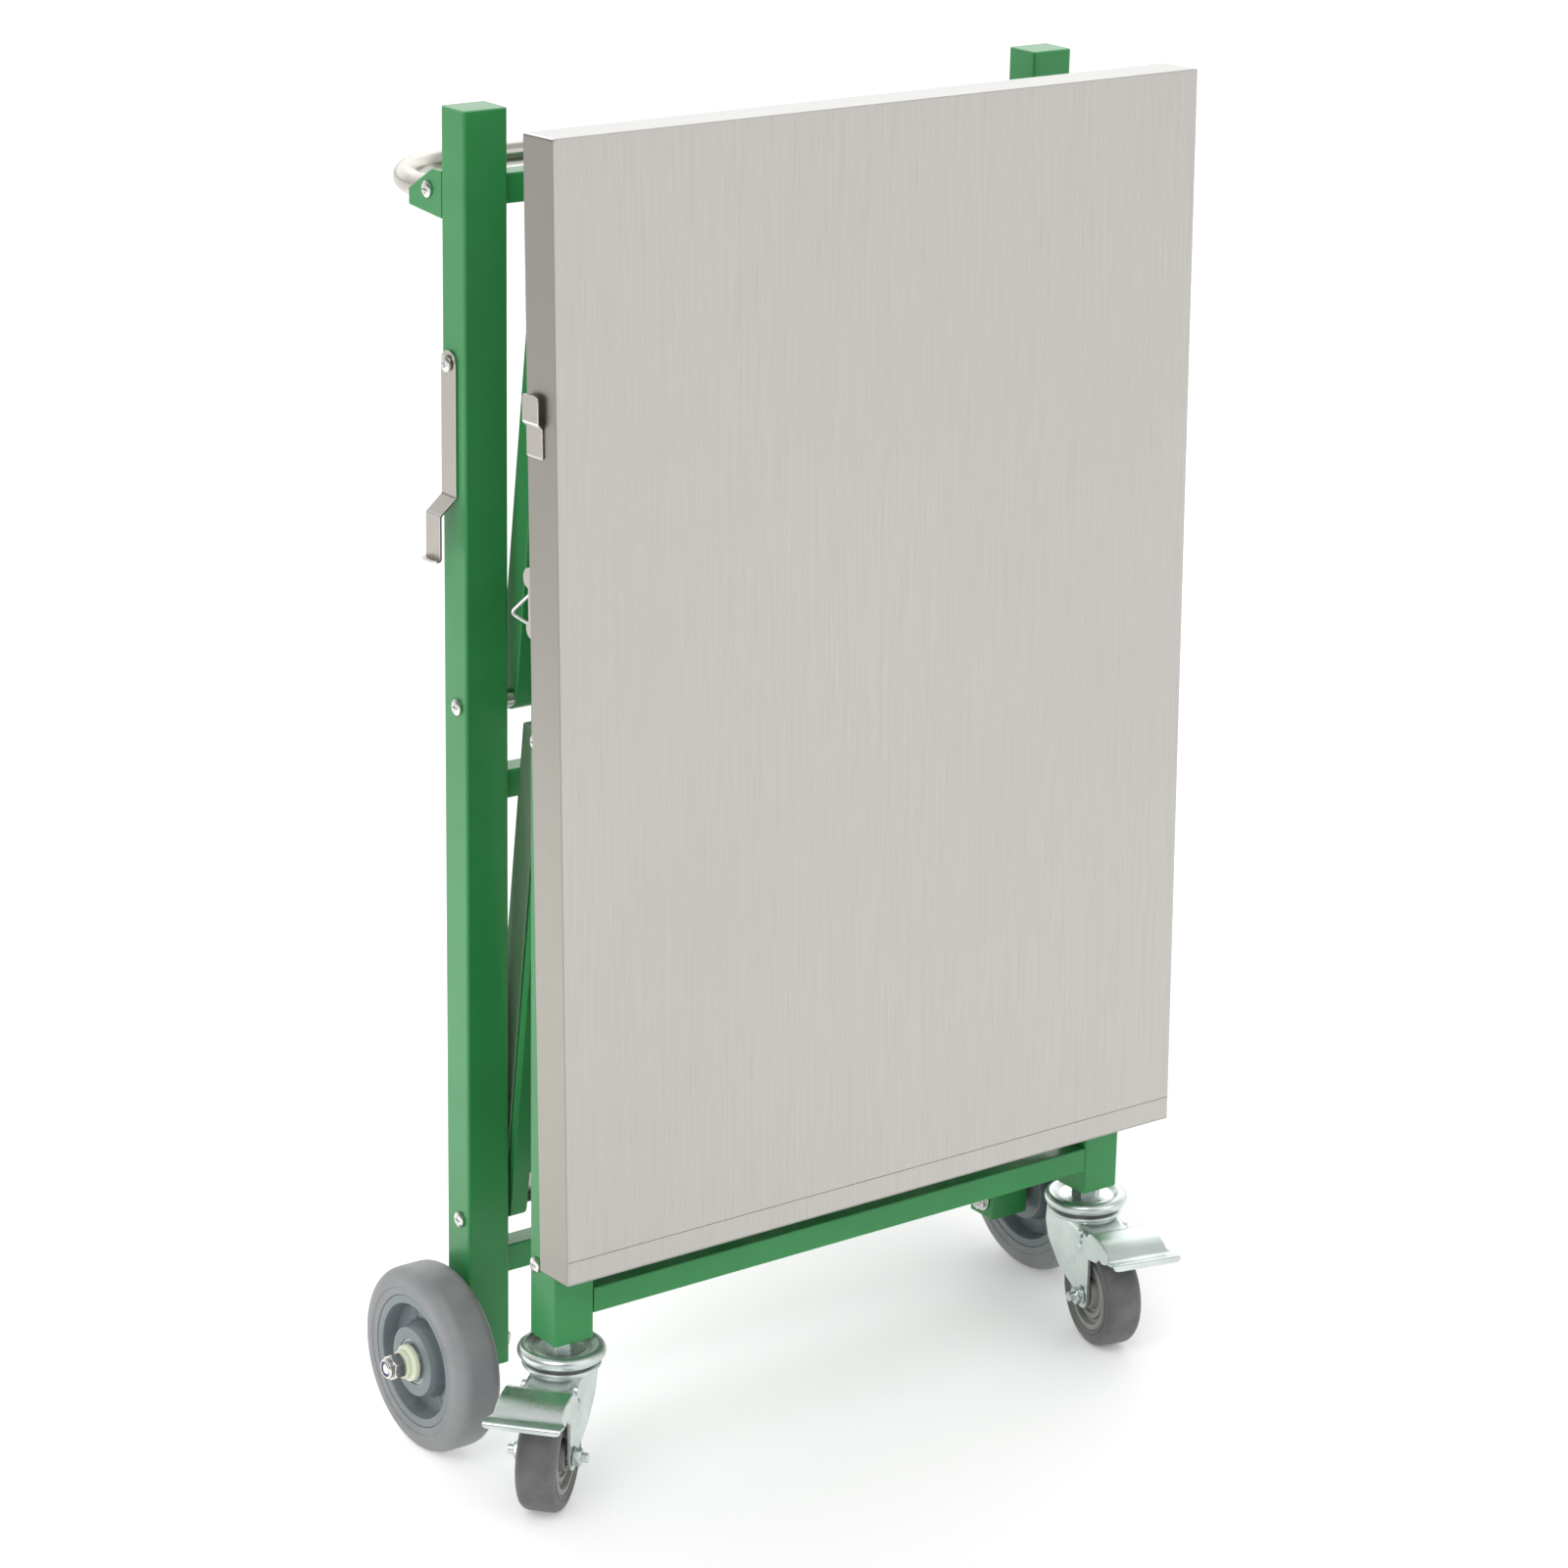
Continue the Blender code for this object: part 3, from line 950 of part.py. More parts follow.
def brake_pedal(word, swivel):
    """The stamped brake pedal: a channel over the fork's pins with a flared lip."""
    axis = axis_point("pedal_axis_" + word, swivel, (PEDAL_PIN_ALONG, 0, -PEDAL_PIN_DOWN))
    pin_u, pin_z = PEDAL_PIN_ALONG, PEDAL_PIN_DOWN
    eye = 2 * PEDAL_PIN_RADIUS
    wall = PEDAL_WALL

    def outline_of(inset):
        """The pedal's side outline, drawn in by a wall."""
        return ([(PEDAL_TOP_ALONG - pin_u + inset / 2, pin_z - PEDAL_TOP_DOWN - inset),
                 (PEDAL_FOLD_ALONG - pin_u - inset / 2, pin_z - PEDAL_TOP_DOWN - inset),
                 (PEDAL_NOSE_ALONG - pin_u - inset, pin_z - PEDAL_NOSE_DOWN)]
                + [(PEDAL_CHEEK_ALONG - pin_u, pin_z - PEDAL_CHEEK_DOWN)]
                + arc((0, 0), eye, -60, -240, 8))

    pedal = plate("brake_pedal_" + word, outline_of(0), -PEDAL_HALF, PEDAL_HALF, axis, ZINC)
    pedal.rotation_euler = (math.pi / 2, 0, 0)
    pedal.location = (0, 0, 0)
    inner = PEDAL_HALF - wall
    hollow = [(-eye - OVERRUN, -eye - wall), (-eye - OVERRUN, eye + OVERRUN),
              (PEDAL_TOP_ALONG - pin_u - wall, pin_z - PEDAL_TOP_DOWN - 2 * wall),
              (PEDAL_TOP_ALONG - pin_u + wall / 2, pin_z - PEDAL_TOP_DOWN - wall),
              (PEDAL_FOLD_ALONG - pin_u - wall / 2, pin_z - PEDAL_TOP_DOWN - wall),
              (PEDAL_NOSE_ALONG - pin_u - wall, pin_z - PEDAL_NOSE_DOWN),
              (PEDAL_NOSE_ALONG - pin_u - wall, -eye - wall)]
    core = plate("pedal_hollow", hollow, -inner, inner, axis, ZINC)
    core.rotation_euler = (math.pi / 2, 0, 0)
    core.location = (0, 0, 0)
    boolean(pedal, core, "DIFFERENCE")
    lip = [(PEDAL_NOSE_ALONG - pin_u - wall, pin_z - PEDAL_NOSE_DOWN + wall),
           (PEDAL_TIP_ALONG - pin_u, pin_z - PEDAL_TIP_DOWN),
           (PEDAL_TIP_ALONG - pin_u, pin_z - PEDAL_TIP_DOWN - wall),
           (PEDAL_NOSE_ALONG - pin_u - wall, pin_z - PEDAL_NOSE_DOWN - wall / 2)]
    blade = plate("pedal_lip", lip, -PEDAL_LIP_HALF, PEDAL_LIP_HALF, axis, ZINC)
    blade.rotation_euler = (math.pi / 2, 0, 0)
    blade.location = (0, 0, 0)
    boolean(pedal, blade, "UNION")
    drill = piece("pedal_bore", cylinder_mesh(PEDAL_PIN_RADIUS + GAP, -PEDAL_HALF - OVERRUN,
                                              PEDAL_HALF + OVERRUN, ROUND_SMALL),
                  axis, ZINC, (0, 0, 0), (math.pi / 2, 0, 0))
    boolean(pedal, drill, "DIFFERENCE")


def smooth_round_pieces():
    """Shade each piece smooth up to its real edges."""
    for item in CART.objects:
        if item.type == "MESH":
            item.data.shade_smooth()
            item.data.set_sharp_from_angle(angle=math.radians(35))


rear_posts()
rear_crossbars()
push_handle()
rear_wheels()
rear_pivot_bolts()
lock_hook()

upper_rear = axis_point("upper_rear_axis", cart, (0, PIVOT_BACK, UPPER_PIVOT_Z), (FOLDED_LEAN, 0, 0))
upper_link("upper_frame_rear", upper_rear, 1, UPPER_REAR_HALF)
upper_hinge_rod(upper_rear, UPPER_REAR_HALF + HINGE_ROD_RADIUS / 2 + GAP)
upper_apex = axis_point("upper_apex_axis", upper_rear, (0, 0, LINK), (-2 * FOLDED_LEAN, 0, 0))
upper_front = axis_point("upper_front_axis", upper_apex, (0, 0, -LINK))
upper_link("upper_frame_front", upper_front, -1, UPPER_FRONT_HALF)

lower_rear = axis_point("lower_rear_axis", cart, (0, PIVOT_BACK, LOWER_PIVOT_Z), (FOLDED_LEAN, 0, 0))
shelf_half("rear", lower_rear, 1, SHELF_REAR_HALF)
lower_apex = axis_point("lower_apex_axis", lower_rear, (0, 0, LINK), (-2 * FOLDED_LEAN, 0, 0))
lower_front = axis_point("lower_front_axis", lower_apex, (0, 0, -LINK))
shelf_half("front", lower_front, -1, SHELF_FRONT_HALF)

front_axis = axis_point("front_frame_axis", upper_front, (0, 0, 0), (FOLDED_LEAN, 0, 0))
front = axis_point("front_frame", front_axis, (0, -FRONT_PIVOT_Y, -UPPER_PIVOT_Z))
front_posts(front)
front_pivot_bolts(front)
for side_word, side_sign in SIDES:
    caster(side_word, side_sign, front)

turn_axis = axis_point("table_turn_axis", front, (0, TURN_AXIS_Y, TURN_AXIS_Z), (-TOP_LEAN, 0, 0))
slide_carriages(turn_axis)
table_slide = axis_point("table_slide_axis", turn_axis, (0, 0, 0))
table_top(table_slide)
keeper_clip(table_slide)
draw_latch(table_slide)
smooth_round_pieces()
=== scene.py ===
"""Looks of the folding utility cart: finished surfaces, materials, floor, light and camera.

Sizes are in metres. Pieces are worked out in the cart's own lines, with +X to its right, +Y towards
the push handle, +Z up and Y = 0 on the rear posts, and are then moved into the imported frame.
"""
import json
import math

import bmesh
import bpy
import numpy as np
from mathutils import Euler, Matrix, Vector


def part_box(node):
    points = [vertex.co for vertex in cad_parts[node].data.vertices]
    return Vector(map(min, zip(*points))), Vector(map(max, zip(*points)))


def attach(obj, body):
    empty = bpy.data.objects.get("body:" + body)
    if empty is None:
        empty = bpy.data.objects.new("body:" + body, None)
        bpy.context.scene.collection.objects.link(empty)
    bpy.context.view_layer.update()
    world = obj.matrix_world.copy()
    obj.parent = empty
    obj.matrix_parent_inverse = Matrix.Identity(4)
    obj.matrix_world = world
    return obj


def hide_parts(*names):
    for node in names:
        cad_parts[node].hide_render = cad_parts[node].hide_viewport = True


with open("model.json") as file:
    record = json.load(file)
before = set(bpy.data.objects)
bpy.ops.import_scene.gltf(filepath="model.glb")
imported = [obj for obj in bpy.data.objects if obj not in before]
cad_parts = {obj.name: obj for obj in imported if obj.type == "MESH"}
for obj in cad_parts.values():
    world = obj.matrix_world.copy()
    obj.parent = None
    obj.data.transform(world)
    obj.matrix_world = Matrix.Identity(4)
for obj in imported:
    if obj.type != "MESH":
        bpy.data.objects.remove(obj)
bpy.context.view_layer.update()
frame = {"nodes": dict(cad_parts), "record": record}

BODY_OF = {name: body for body, names in frame["record"]["behaviour"]["bodies"].items() for name in names}
SIDES = (("left", -1), ("right", 1))
TAU = 2 * math.pi

# Where the cart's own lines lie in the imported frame
LEFT_POST, RIGHT_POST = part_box("rear_post_left"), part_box("rear_post_right")
SHIFT = np.array([(LEFT_POST[0].x + RIGHT_POST[1].x) / 2, (LEFT_POST[0].y + LEFT_POST[1].y) / 2, 0])

# Rear frame
POST_INNER, POST_OUTER = 0.2485, 0.2865
POST_HALF_DEEP = 0.016
POST_FOOT, POST_TOP = 0.0605, 1.073
POST_ROUND, POST_RIM = 0.0026, 0.0012
TUBE_WALL = 0.0015
BAR_TALL, BAR_DEEP = 0.023, 0.021
BAR_ROUND, BAR_RIM = 0.0017, 0.0004
BAR_GAP = 0.0003
REAR_BAR_TOPS = {"upper": 1.023, "middle": 0.5593, "lower": 0.1596}

# Push handle
HANDLE_X = 0.2708
HANDLE_RADIUS = 0.0095
HANDLE_START_Y, HANDLE_BEND_Y, HANDLE_REACH = 0.0185, 0.07095, 0.14595
HANDLE_BEND = 0.075
HANDLE_Z, HANDLE_FALL = 1.01, 0.007

# Screws
HEAD_RADIUS, HEAD_TALL = 0.0062, 0.0032
SHANK_RADIUS = 0.003
NUT_WIDE, NUT_TALL, NUT_ROOM = 0.0088, 0.005, 0.0053
HANDLE_BOLT_Y = 0.0338
HANDLE_BOLT_Z = HANDLE_Z - HANDLE_FALL * (HANDLE_BOLT_Y - HANDLE_START_Y) / (0.071 - HANDLE_START_Y)
HOOK_PIVOT = (-POST_OUTER, 0.0042, 0.882)

# Links, as they stand folded
LINK, LINK_LEAN = 0.415, math.radians(7.27)
LINK_TUBE, LINK_ROUND = 0.0234, 0.0022
REAR_LINK_HALF, FRONT_LINK_HALF = 0.239, 0.2134
PIVOT_Y, UPPER_PIVOT_Z, LOWER_PIVOT_Z = -0.004, 0.6154, 0.19

# Front frame
FRONT_INNER, FRONT_OUTER = 0.2475, 0.2835
FRONT_PIVOT_Y = PIVOT_Y - 2 * LINK * math.sin(LINK_LEAN)
FRONT_REAR_Y = FRONT_PIVOT_Y + 0.0093
FRONT_FACE_Y = FRONT_REAR_Y - 0.036
FRONT_FOOT, FRONT_TOP = 0.1288, 0.6452
FRONT_BAR_TOP, FRONT_BAR_TALL = 0.171, 0.0214
EAR_X, EAR_HALF_THICK, EAR_RADIUS = 0.265, 0.0025, 0.008

# Table top
TOP_LEAN = math.radians(1.56)
TOP_HALF, TOP_LONG, TOP_THICK, TOP_WALL = 0.3, 0.875, 0.0386, 0.0012
TOP_ROUND, TOP_CORNER = 0.0014, 0.0022
TOP_AXIS_DEPTH, TOP_AXIS_Z = 0.0187, 0.653
TOP_BELOW_AXIS = ((TOP_AXIS_Z - 0.201 + TOP_AXIS_DEPTH * math.sin(TOP_LEAN)) / math.cos(TOP_LEAN))
TOP_AXIS_Y = -0.178 + TOP_BELOW_AXIS * math.sin(TOP_LEAN) + TOP_AXIS_DEPTH * math.cos(TOP_LEAN)
FOOT_LIP = 0.024
SEAM_HEIGHT = (0.0195 - TOP_BELOW_AXIS + math.sin(TOP_LEAN) * (TOP_AXIS_Y + SHIFT[1])
               + math.cos(TOP_LEAN) * TOP_AXIS_Z)

# Rear wheels, measured outwards from the cart's middle
WHEEL_RADIUS = 0.076
WHEEL_IN, WHEEL_OUT = 0.291, 0.331
WHEEL_MIDDLE = (WHEEL_IN + WHEEL_OUT) / 2
AXLE_END = 0.3554

# Casters, measured from the foot of the front post
CASTER_TRAIL, CASTER_DROP = 0.038, FRONT_FOOT - 0.045
CASTER_HALF = 0.016
CASTER_AIM = {"left": math.radians(221), "right": math.radians(257)}
SWIVEL_X, SWIVEL_Y = 0.2655, FRONT_REAR_Y - 0.018


# ---- shapes

def lengths(vectors):
    """The length of each vector in a list."""
    return np.linalg.norm(vectors, axis=1)


def round_turn(count):
    """Angles spread evenly over one whole turn."""
    return np.linspace(0, TAU, count, endpoint=False)


def eased(corners, radius, steps=5, closed=True):
    """Ease the corners of an outline. Corner P becomes (1-t)^2 A + 2t(1-t) P + t^2 B, t = 0..1.

    A and B lie on the two sides of P, radius / tan(half the corner's angle) away from it.
    """
    corners = np.asarray(corners, float)
    sides = [np.roll(corners, way, axis=0) - corners for way in (1, -1)]
    longs = [lengths(side) + 1e-12 for side in sides]
    cosine = np.clip((sides[0] * sides[1]).sum(axis=1) / longs[0] / longs[1], -1, 1)
    reach = np.broadcast_to(radius, len(corners)) / np.tan(np.arccos(cosine) / 2 + 1e-9)
    reach = np.minimum(reach, 0.48 * np.minimum(*longs))
    if not closed:
        reach[[0, -1]] = 0
    start, end = ((corners + side * (reach / long)[:, None])[:, None] for side, long in zip(sides, longs))
    t = np.linspace(0, 1, steps + 1)[None, :, None]
    curve = (1 - t) ** 2 * start + 2 * t * (1 - t) * corners[:, None] + t ** 2 * end
    curve = curve.reshape(-1, corners.shape[1])
    apart = lengths(np.diff(curve, axis=0)) > 1e-7
    return curve[np.concatenate([[True], apart])]


def eased_line(points, radius=0.0006, steps=3):
    """An open line with its inner corners eased."""
    return eased(points, radius, steps, closed=False)


def arc(centre, radius, start, end, steps=8):
    """Points centre + radius (cos a, sin a), for a from start to end in degrees."""
    angle = np.radians(np.linspace(start, end, steps + 1))
    return np.stack([centre[0] + radius * np.cos(angle), centre[1] + radius * np.sin(angle)], axis=1)


def box_outline(low, high):
    """The four corners of a rectangle between two flat points."""
    return [(low[0], low[1]), (high[0], low[1]), (high[0], high[1]), (low[0], high[1])]


def facing(a, b, h, axis):
    """Lay the flat coordinates (a, b) across an axis and h along it."""
    order = {"x": (h, a, b), "y": (b, h, a), "z": (a, b, h)}[axis]
    return np.stack(np.broadcast_arrays(*order), axis=-1)


def turned(profile, axis="z", sides=64):
    """A profile of (r, h) turned about an axis: (r cos a, r sin a, h), a = 0..360 degrees."""
    r, h = np.asarray(profile, float).T[:, :, None]
    angle = round_turn(sides)
    return facing(r * np.cos(angle), r * np.sin(angle), h, axis)


def ring(profile):
    """Close a profile on itself, for a piece with a bore."""
    return np.concatenate([profile, profile[:1]])


def both_faces(half):
    """Close half a profile with its mirror image about h = 0."""
    return ring(np.concatenate([half, half[::-1] * (1, -1)]))


def wound(outline):
    """An outline without doubled points, run so that the area inside, the sum of p x q / 2, is positive."""
    outline = np.asarray(outline, float)
    outline = outline[lengths(np.roll(outline, -1, axis=0) - outline) > 1e-7]
    ahead = np.roll(outline, -1, axis=0)
    area = (outline[:, 0] * ahead[:, 1] - outline[:, 1] * ahead[:, 0]).sum()
    return outline[::-1] if area < 0 else outline


def drawn_in(outline, insets):
    """An outline moved inwards: each point goes by inset (n1 + n2) / (1 + n1.n2), its sides' normals."""
    step = np.roll(outline, -1, axis=0) - outline
    normal = np.stack([-step[:, 1], step[:, 0]], axis=1) / (lengths(step)[:, None] + 1e-12)
    before = np.roll(normal, 1, axis=0)
    mitre = (normal + before) / (1 + (normal * before).sum(axis=1))[:, None].clip(0.3)
    return outline + mitre * np.asarray(insets)[:, None, None]


def slab(outline, low, high, rim, axis="x", steps=3):
    """A flat outline given thickness along an axis, with rounded rims.

    Near each end the outline is drawn in by rim (1 - sin b) at rim (1 - cos b), b = 0..90 degrees.
    """
    turn = np.radians(np.linspace(0, 90, steps + 1))
    insets, rises = rim * (1 - np.sin(turn)), rim * (1 - np.cos(turn))
    loops = drawn_in(wound(outline), np.concatenate([insets, insets[::-1]]))
    heights = np.concatenate([low + rises, (high - rises)[::-1]])
    return facing(loops[..., 0], loops[..., 1], heights[:, None], axis)


def cup(outline, wall, shut, mouth, rim, steps):
    """Rows of a cup with an outline, and their heights: down its inside to the mouth, then up outside.

    At the shut end the outline is drawn in by rim (1 - cos b) while it rises by rim sin b, b = 0..90 degrees.
    """
    way = math.copysign(1, shut - mouth)
    turn = np.radians(np.linspace(0, 90, steps + 1))
    insets = [wall, wall, wall - 0.0003, 0.0003, 0, *(rim * (1 - np.cos(turn)))]
    soft = mouth + way * 0.0004
    heights = [shut - way * wall, soft, mouth, mouth, soft, *(shut - way * rim * (1 - np.sin(turn)))]
    return drawn_in(outline, insets), np.array(heights)[:, None]


def along_of(path):
    """The direction of a path at each point."""
    along = np.gradient(path, axis=0)
    return along / lengths(along)[:, None]


def carried(path, radius, sides=24, up=(0, 0, 1), closed=False):
    """A round section carried along a path: P + r (cos a N + sin a B), N and B square to the path."""
    if closed:
        along = np.roll(path, -1, axis=0) - np.roll(path, 1, axis=0)
        along /= lengths(along)[:, None]
    else:
        along = along_of(path)
    side = np.cross(along, np.asarray(up, float))
    side /= lengths(side)[:, None]
    over = np.cross(side, along)
    angle = round_turn(sides)[None, :, None]
    grid = path[:, None] + radius * (np.cos(angle) * side[:, None] + np.sin(angle) * over[:, None])
    return ring(grid) if closed else grid


def strap(path, half_wide, thick, rim=0.0004, steps=3):
    """A flat strap bent along a path of (x, z), its wide side along Y.

    The section is a rectangle with rounded corners: (sx (w - r) + r cos b, sy (t/2 - r) + r sin b).
    The path gives the strap's middle, and half_wide its half width w at each of the path's points.
    """
    along = along_of(path)
    normal = np.stack([-along[:, 1], along[:, 0]], axis=1)
    corner = np.repeat(np.array([[1, 1], [-1, 1], [-1, -1], [1, -1]], float), steps + 1, axis=0)
    angle = np.radians(np.concatenate([np.linspace(q, q + 90, steps + 1) for q in (0, 90, 180, 270)]))
    across = corner[:, 0] * (half_wide[:, None] - rim).clip(0) + rim * np.cos(angle)
    through = corner[:, 1] * (thick / 2 - rim) + rim * np.sin(angle)
    place = path[:, None] + normal[:, None] * through[None, :, None]
    return np.stack([place[..., 0], across, place[..., 1]], axis=-1)


def end_rounding(rest, radius):
    """How far a strap's side draws in near its end: r - sqrt(r^2 - (r - s)^2) at s before the end."""
    return np.where(rest < radius, radius - np.sqrt(np.clip(radius ** 2 - (radius - rest) ** 2, 0, None)), 0)


def smooth(share):
    """A share from 0 to 1 with soft ends, 3 s^2 - 2 s^3."""
    share = np.clip(share, 0, 1)
    return share * share * (3 - 2 * share)


def resampled(path, count):
    """Points spread evenly along a path's length, and how far along each one lies."""
    far = np.concatenate([[0], np.cumsum(lengths(np.diff(path, axis=0)))])
    at = np.linspace(0, far[-1], count)
    return np.stack([np.interp(at, far, path[:, k]) for k in range(2)], axis=1), at


def hexagon(half_across, angle):
    """A hexagon's radius at an angle: half its width over flats / cos(angle from the nearest flat's middle)."""
    return half_across / np.cos((angle + TAU / 12) % (TAU / 6) - TAU / 12)


def hexagonal(across, low, high, axis="x", sides=96, chamfer=0.13):
    """A nut: r = min(the hexagon's radius at angle a, a cone's radius near each end)."""
    angle = round_turn(sides)
    radii = across / 2 * np.array([0, 0.985, 1.02, 1.09, 1.2])
    rises = chamfer * across * np.array([0, 0, 0.16, 0.42, 1])
    r = np.minimum(np.concatenate([radii, radii[::-1]])[:, None], hexagon(across / 2, angle))
    height = np.concatenate([low + rises, (high - rises)[::-1]])[:, None]
    return facing(r * np.cos(angle), r * np.sin(angle), height, axis)


def pan_head(under, recess, sides=72):
    """A pan head: h(r) = under + tall (1 - 0.42 (r/R)^3.2), less the depth of its driver recess.

    A cross recess is the deeper of two bars that narrow to soft sides, and a round one a soft disc.
    """
    share = np.concatenate([np.linspace(1, 0.9, 4), np.linspace(0.86, 0, 22)])
    crown = np.stack([HEAD_RADIUS * share, under + HEAD_TALL * (1 - 0.42 * share ** 3.2)], axis=1)
    rows = [(0, under), (HEAD_RADIUS * 0.96, under), (HEAD_RADIUS, under + HEAD_TALL * 0.08)]
    grid = turned(np.concatenate([rows, crown]), "x", sides)
    y, z = grid[..., 1], grid[..., 2]
    if recess == "cross":
        long, wide = HEAD_RADIUS * 0.62, HEAD_RADIUS * 0.15
        inside = [[np.clip((half - np.abs(a)) / (wide * 0.7), 0, 1) for a in (y, z)] for half in (long, wide)]
        cut = HEAD_TALL * 0.62 * np.maximum(inside[0][0] * inside[1][1], inside[0][1] * inside[1][0])
    else:
        cut = HEAD_TALL * 0.4 * np.clip((HEAD_RADIUS * 0.42 - np.hypot(y, z)) / (HEAD_RADIUS * 0.07), 0, 1)
    cut[:3] = 0
    grid[..., 0] -= cut
    return grid


def settled(grid, spot=(0, 0, 0), about_x=0, about_z=0):
    """Turn points about X and then about Z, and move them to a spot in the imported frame."""
    cx, sx, cz, sz = math.cos(about_x), math.sin(about_x), math.cos(about_z), math.sin(about_z)
    lean = np.array([[1, 0, 0], [0, cx, -sx], [0, sx, cx]])
    swing = np.array([[cz, -sz, 0], [sz, cz, 0], [0, 0, 1]])
    return np.asarray(grid, float) @ (swing @ lean).T + np.asarray(spot, float) + SHIFT


# ---- meshes

def read_all(items, label, kind, width=1):
    """One value of every item of a mesh, as an array."""
    values = np.empty(len(items) * width, kind)
    items.foreach_get(label, values)
    return values.reshape(-1, width) if width > 1 else values


def add_bend(mesh):
    """Store how sharply the surface bends at each point, as the attribute "bend".

    Along each edge the bend is (change of normal . step) / (step . step), taken over 2 mm. The second
    strongest at a point counts, +1 on a convex edge and -1 in a hollow. It is 0 round large flats.
    """
    count = len(mesh.vertices)
    place = read_all(mesh.vertices, "co", np.float32, 3)
    normal = read_all(mesh.vertex_normals, "vector", np.float32, 3)
    pairs = read_all(mesh.edges, "vertices", np.int32, 2)
    step, change = (values[pairs[:, 1]] - values[pairs[:, 0]] for values in (place, normal))
    bend = np.clip((change * step).sum(axis=1) / ((step * step).sum(axis=1) + 1e-12) * 0.002, -1, 1)
    ends, bend = pairs.ravel(), np.repeat(bend, 2)
    order = np.lexsort((bend, ends))
    first = np.searchsorted(ends[order], np.arange(count))
    last = np.append(first[1:], len(ends)) - 1
    into, out = bend[order][np.minimum(first + 1, last)], bend[order][np.maximum(last - 1, first)]
    large = read_all(mesh.polygons, "area", np.float32) > 1e-4
    corners = read_all(mesh.loops, "vertex_index", np.int32)
    flat = np.zeros(count, bool)
    flat[corners[np.repeat(large, read_all(mesh.polygons, "loop_total", np.int32))]] = True
    value = np.where(flat, 0, np.where(out > -into, out, into)).astype(np.float32)
    mesh.attributes.new("bend", "FLOAT", "POINT").data.foreach_set("value", value)


def mesh_of(grid):
    """Join a grid of points, row by row, into one mesh with closed seams and poles.

    Neighbouring rows make four-sided faces, and points that fall together are made one. The first and
    last rows get lids, unless they are the same row or enclose no area. If the volume inside, the sum
    of a . (b x c) / 6 over its triangles, is negative, all faces turn over.
    """
    rows, columns = grid.shape[:2]
    edge = grid[0] - grid[0].mean(axis=0)
    area = np.linalg.norm(np.cross(edge, np.roll(edge, -1, axis=0)).sum(axis=0)) / 2
    capped = area > 1e-8 and np.abs(grid[0] - grid[-1]).max() > 1e-7
    flat = grid.reshape(-1, 3)
    _, first, place = np.unique(np.round(flat * 2e6).astype(np.int64), axis=0,
                                return_index=True, return_inverse=True)
    points, place = flat[first], place.reshape(rows, columns)
    beside = np.roll(place, -1, axis=1)
    quads = np.stack([place[:-1], beside[:-1], beside[1:], place[1:]], axis=-1).reshape(-1, 4)
    doubled = quads == np.roll(quads, -1, axis=1)
    single = doubled.sum(axis=1) == 1
    fours, threes = quads[~doubled.any(axis=1)], quads[single][~doubled[single]].reshape(-1, 3)
    lids = [list(dict.fromkeys(place[row].tolist())) for row in ((0, -1) if capped else ())]
    if lids:
        lids[0].reverse()
    fans = [np.array([(lid[0], lid[k], lid[k + 1]) for k in range(1, len(lid) - 1)]) for lid in lids]
    wedges = np.concatenate([fours[:, [0, 1, 2]], fours[:, [0, 2, 3]], threes] + fans)
    a, b, c = (points[wedges[:, k]] - points.mean(axis=0) for k in range(3))
    if (a * np.cross(b, c)).sum() < 0:
        fours, threes, lids = fours[:, ::-1], threes[:, ::-1], [lid[::-1] for lid in lids]
    mesh = bpy.data.meshes.new("surface")
    mesh.from_pydata(points.tolist(), [], fours.tolist() + threes.tolist() + lids)
    mesh.validate()
    return mesh


def joined(meshes):
    """Put several meshes together as one."""
    if len(meshes) == 1:
        return meshes[0]
    whole = bmesh.new()
    for mesh in meshes:
        whole.from_mesh(mesh)
        bpy.data.meshes.remove(mesh)
    return mesh_from(whole)


def mesh_from(shape):
    """Turn an edited shape into a mesh."""
    mesh = bpy.data.meshes.new("surface")
    shape.to_mesh(mesh)
    shape.free()
    return mesh


def added(name, data):
    """A new object in the scene."""
    item = bpy.data.objects.new(name, data)
    bpy.context.scene.collection.objects.link(item)
    return item


def finished(name, mesh, material, node_name, instead=True, crease=42):
    """Give a mesh smooth shading, a material, and the body of a CAD node, which it may stand for."""
    mesh.name = name
    mesh.materials.clear()
    mesh.materials.append(material)
    mesh.shade_smooth()
    mesh.set_sharp_from_angle(angle=math.radians(crease))
    add_bend(mesh)
    item = added(name, mesh)
    item.modifiers.new("Flat faces", "WEIGHTED_NORMAL").keep_sharp = True
    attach(item, BODY_OF[node_name])
    if instead:
        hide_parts(node_name)
    return item


def piece(name, material, node_name, *grids, instead=True, crease=42):
    """One finished piece from one or more closed shells."""
    return finished(name, joined([mesh_of(grid) for grid in grids]), material, node_name, instead, crease)


def kept_form(node_name, material, bevel=0.0005):
    """A CAD node's own form with its triangles merged, and its sharp edges rounded over three steps."""
    shape = bmesh.new()
    shape.from_mesh(frame["nodes"][node_name].data)
    bmesh.ops.remove_doubles(shape, verts=shape.verts, dist=1e-6)
    bmesh.ops.dissolve_limit(shape, angle_limit=math.radians(0.5), verts=shape.verts, edges=shape.edges)
    sharp = [edge for edge in shape.edges if edge.calc_face_angle(0) > math.radians(40)]
    bmesh.ops.bevel(shape, geom=sharp, offset=bevel, segments=3, profile=0.5, affect="EDGES", clamp_overlap=True)
    finished(node_name + "_skin", mesh_from(shape), material, node_name, crease=30)


# ---- shared effects

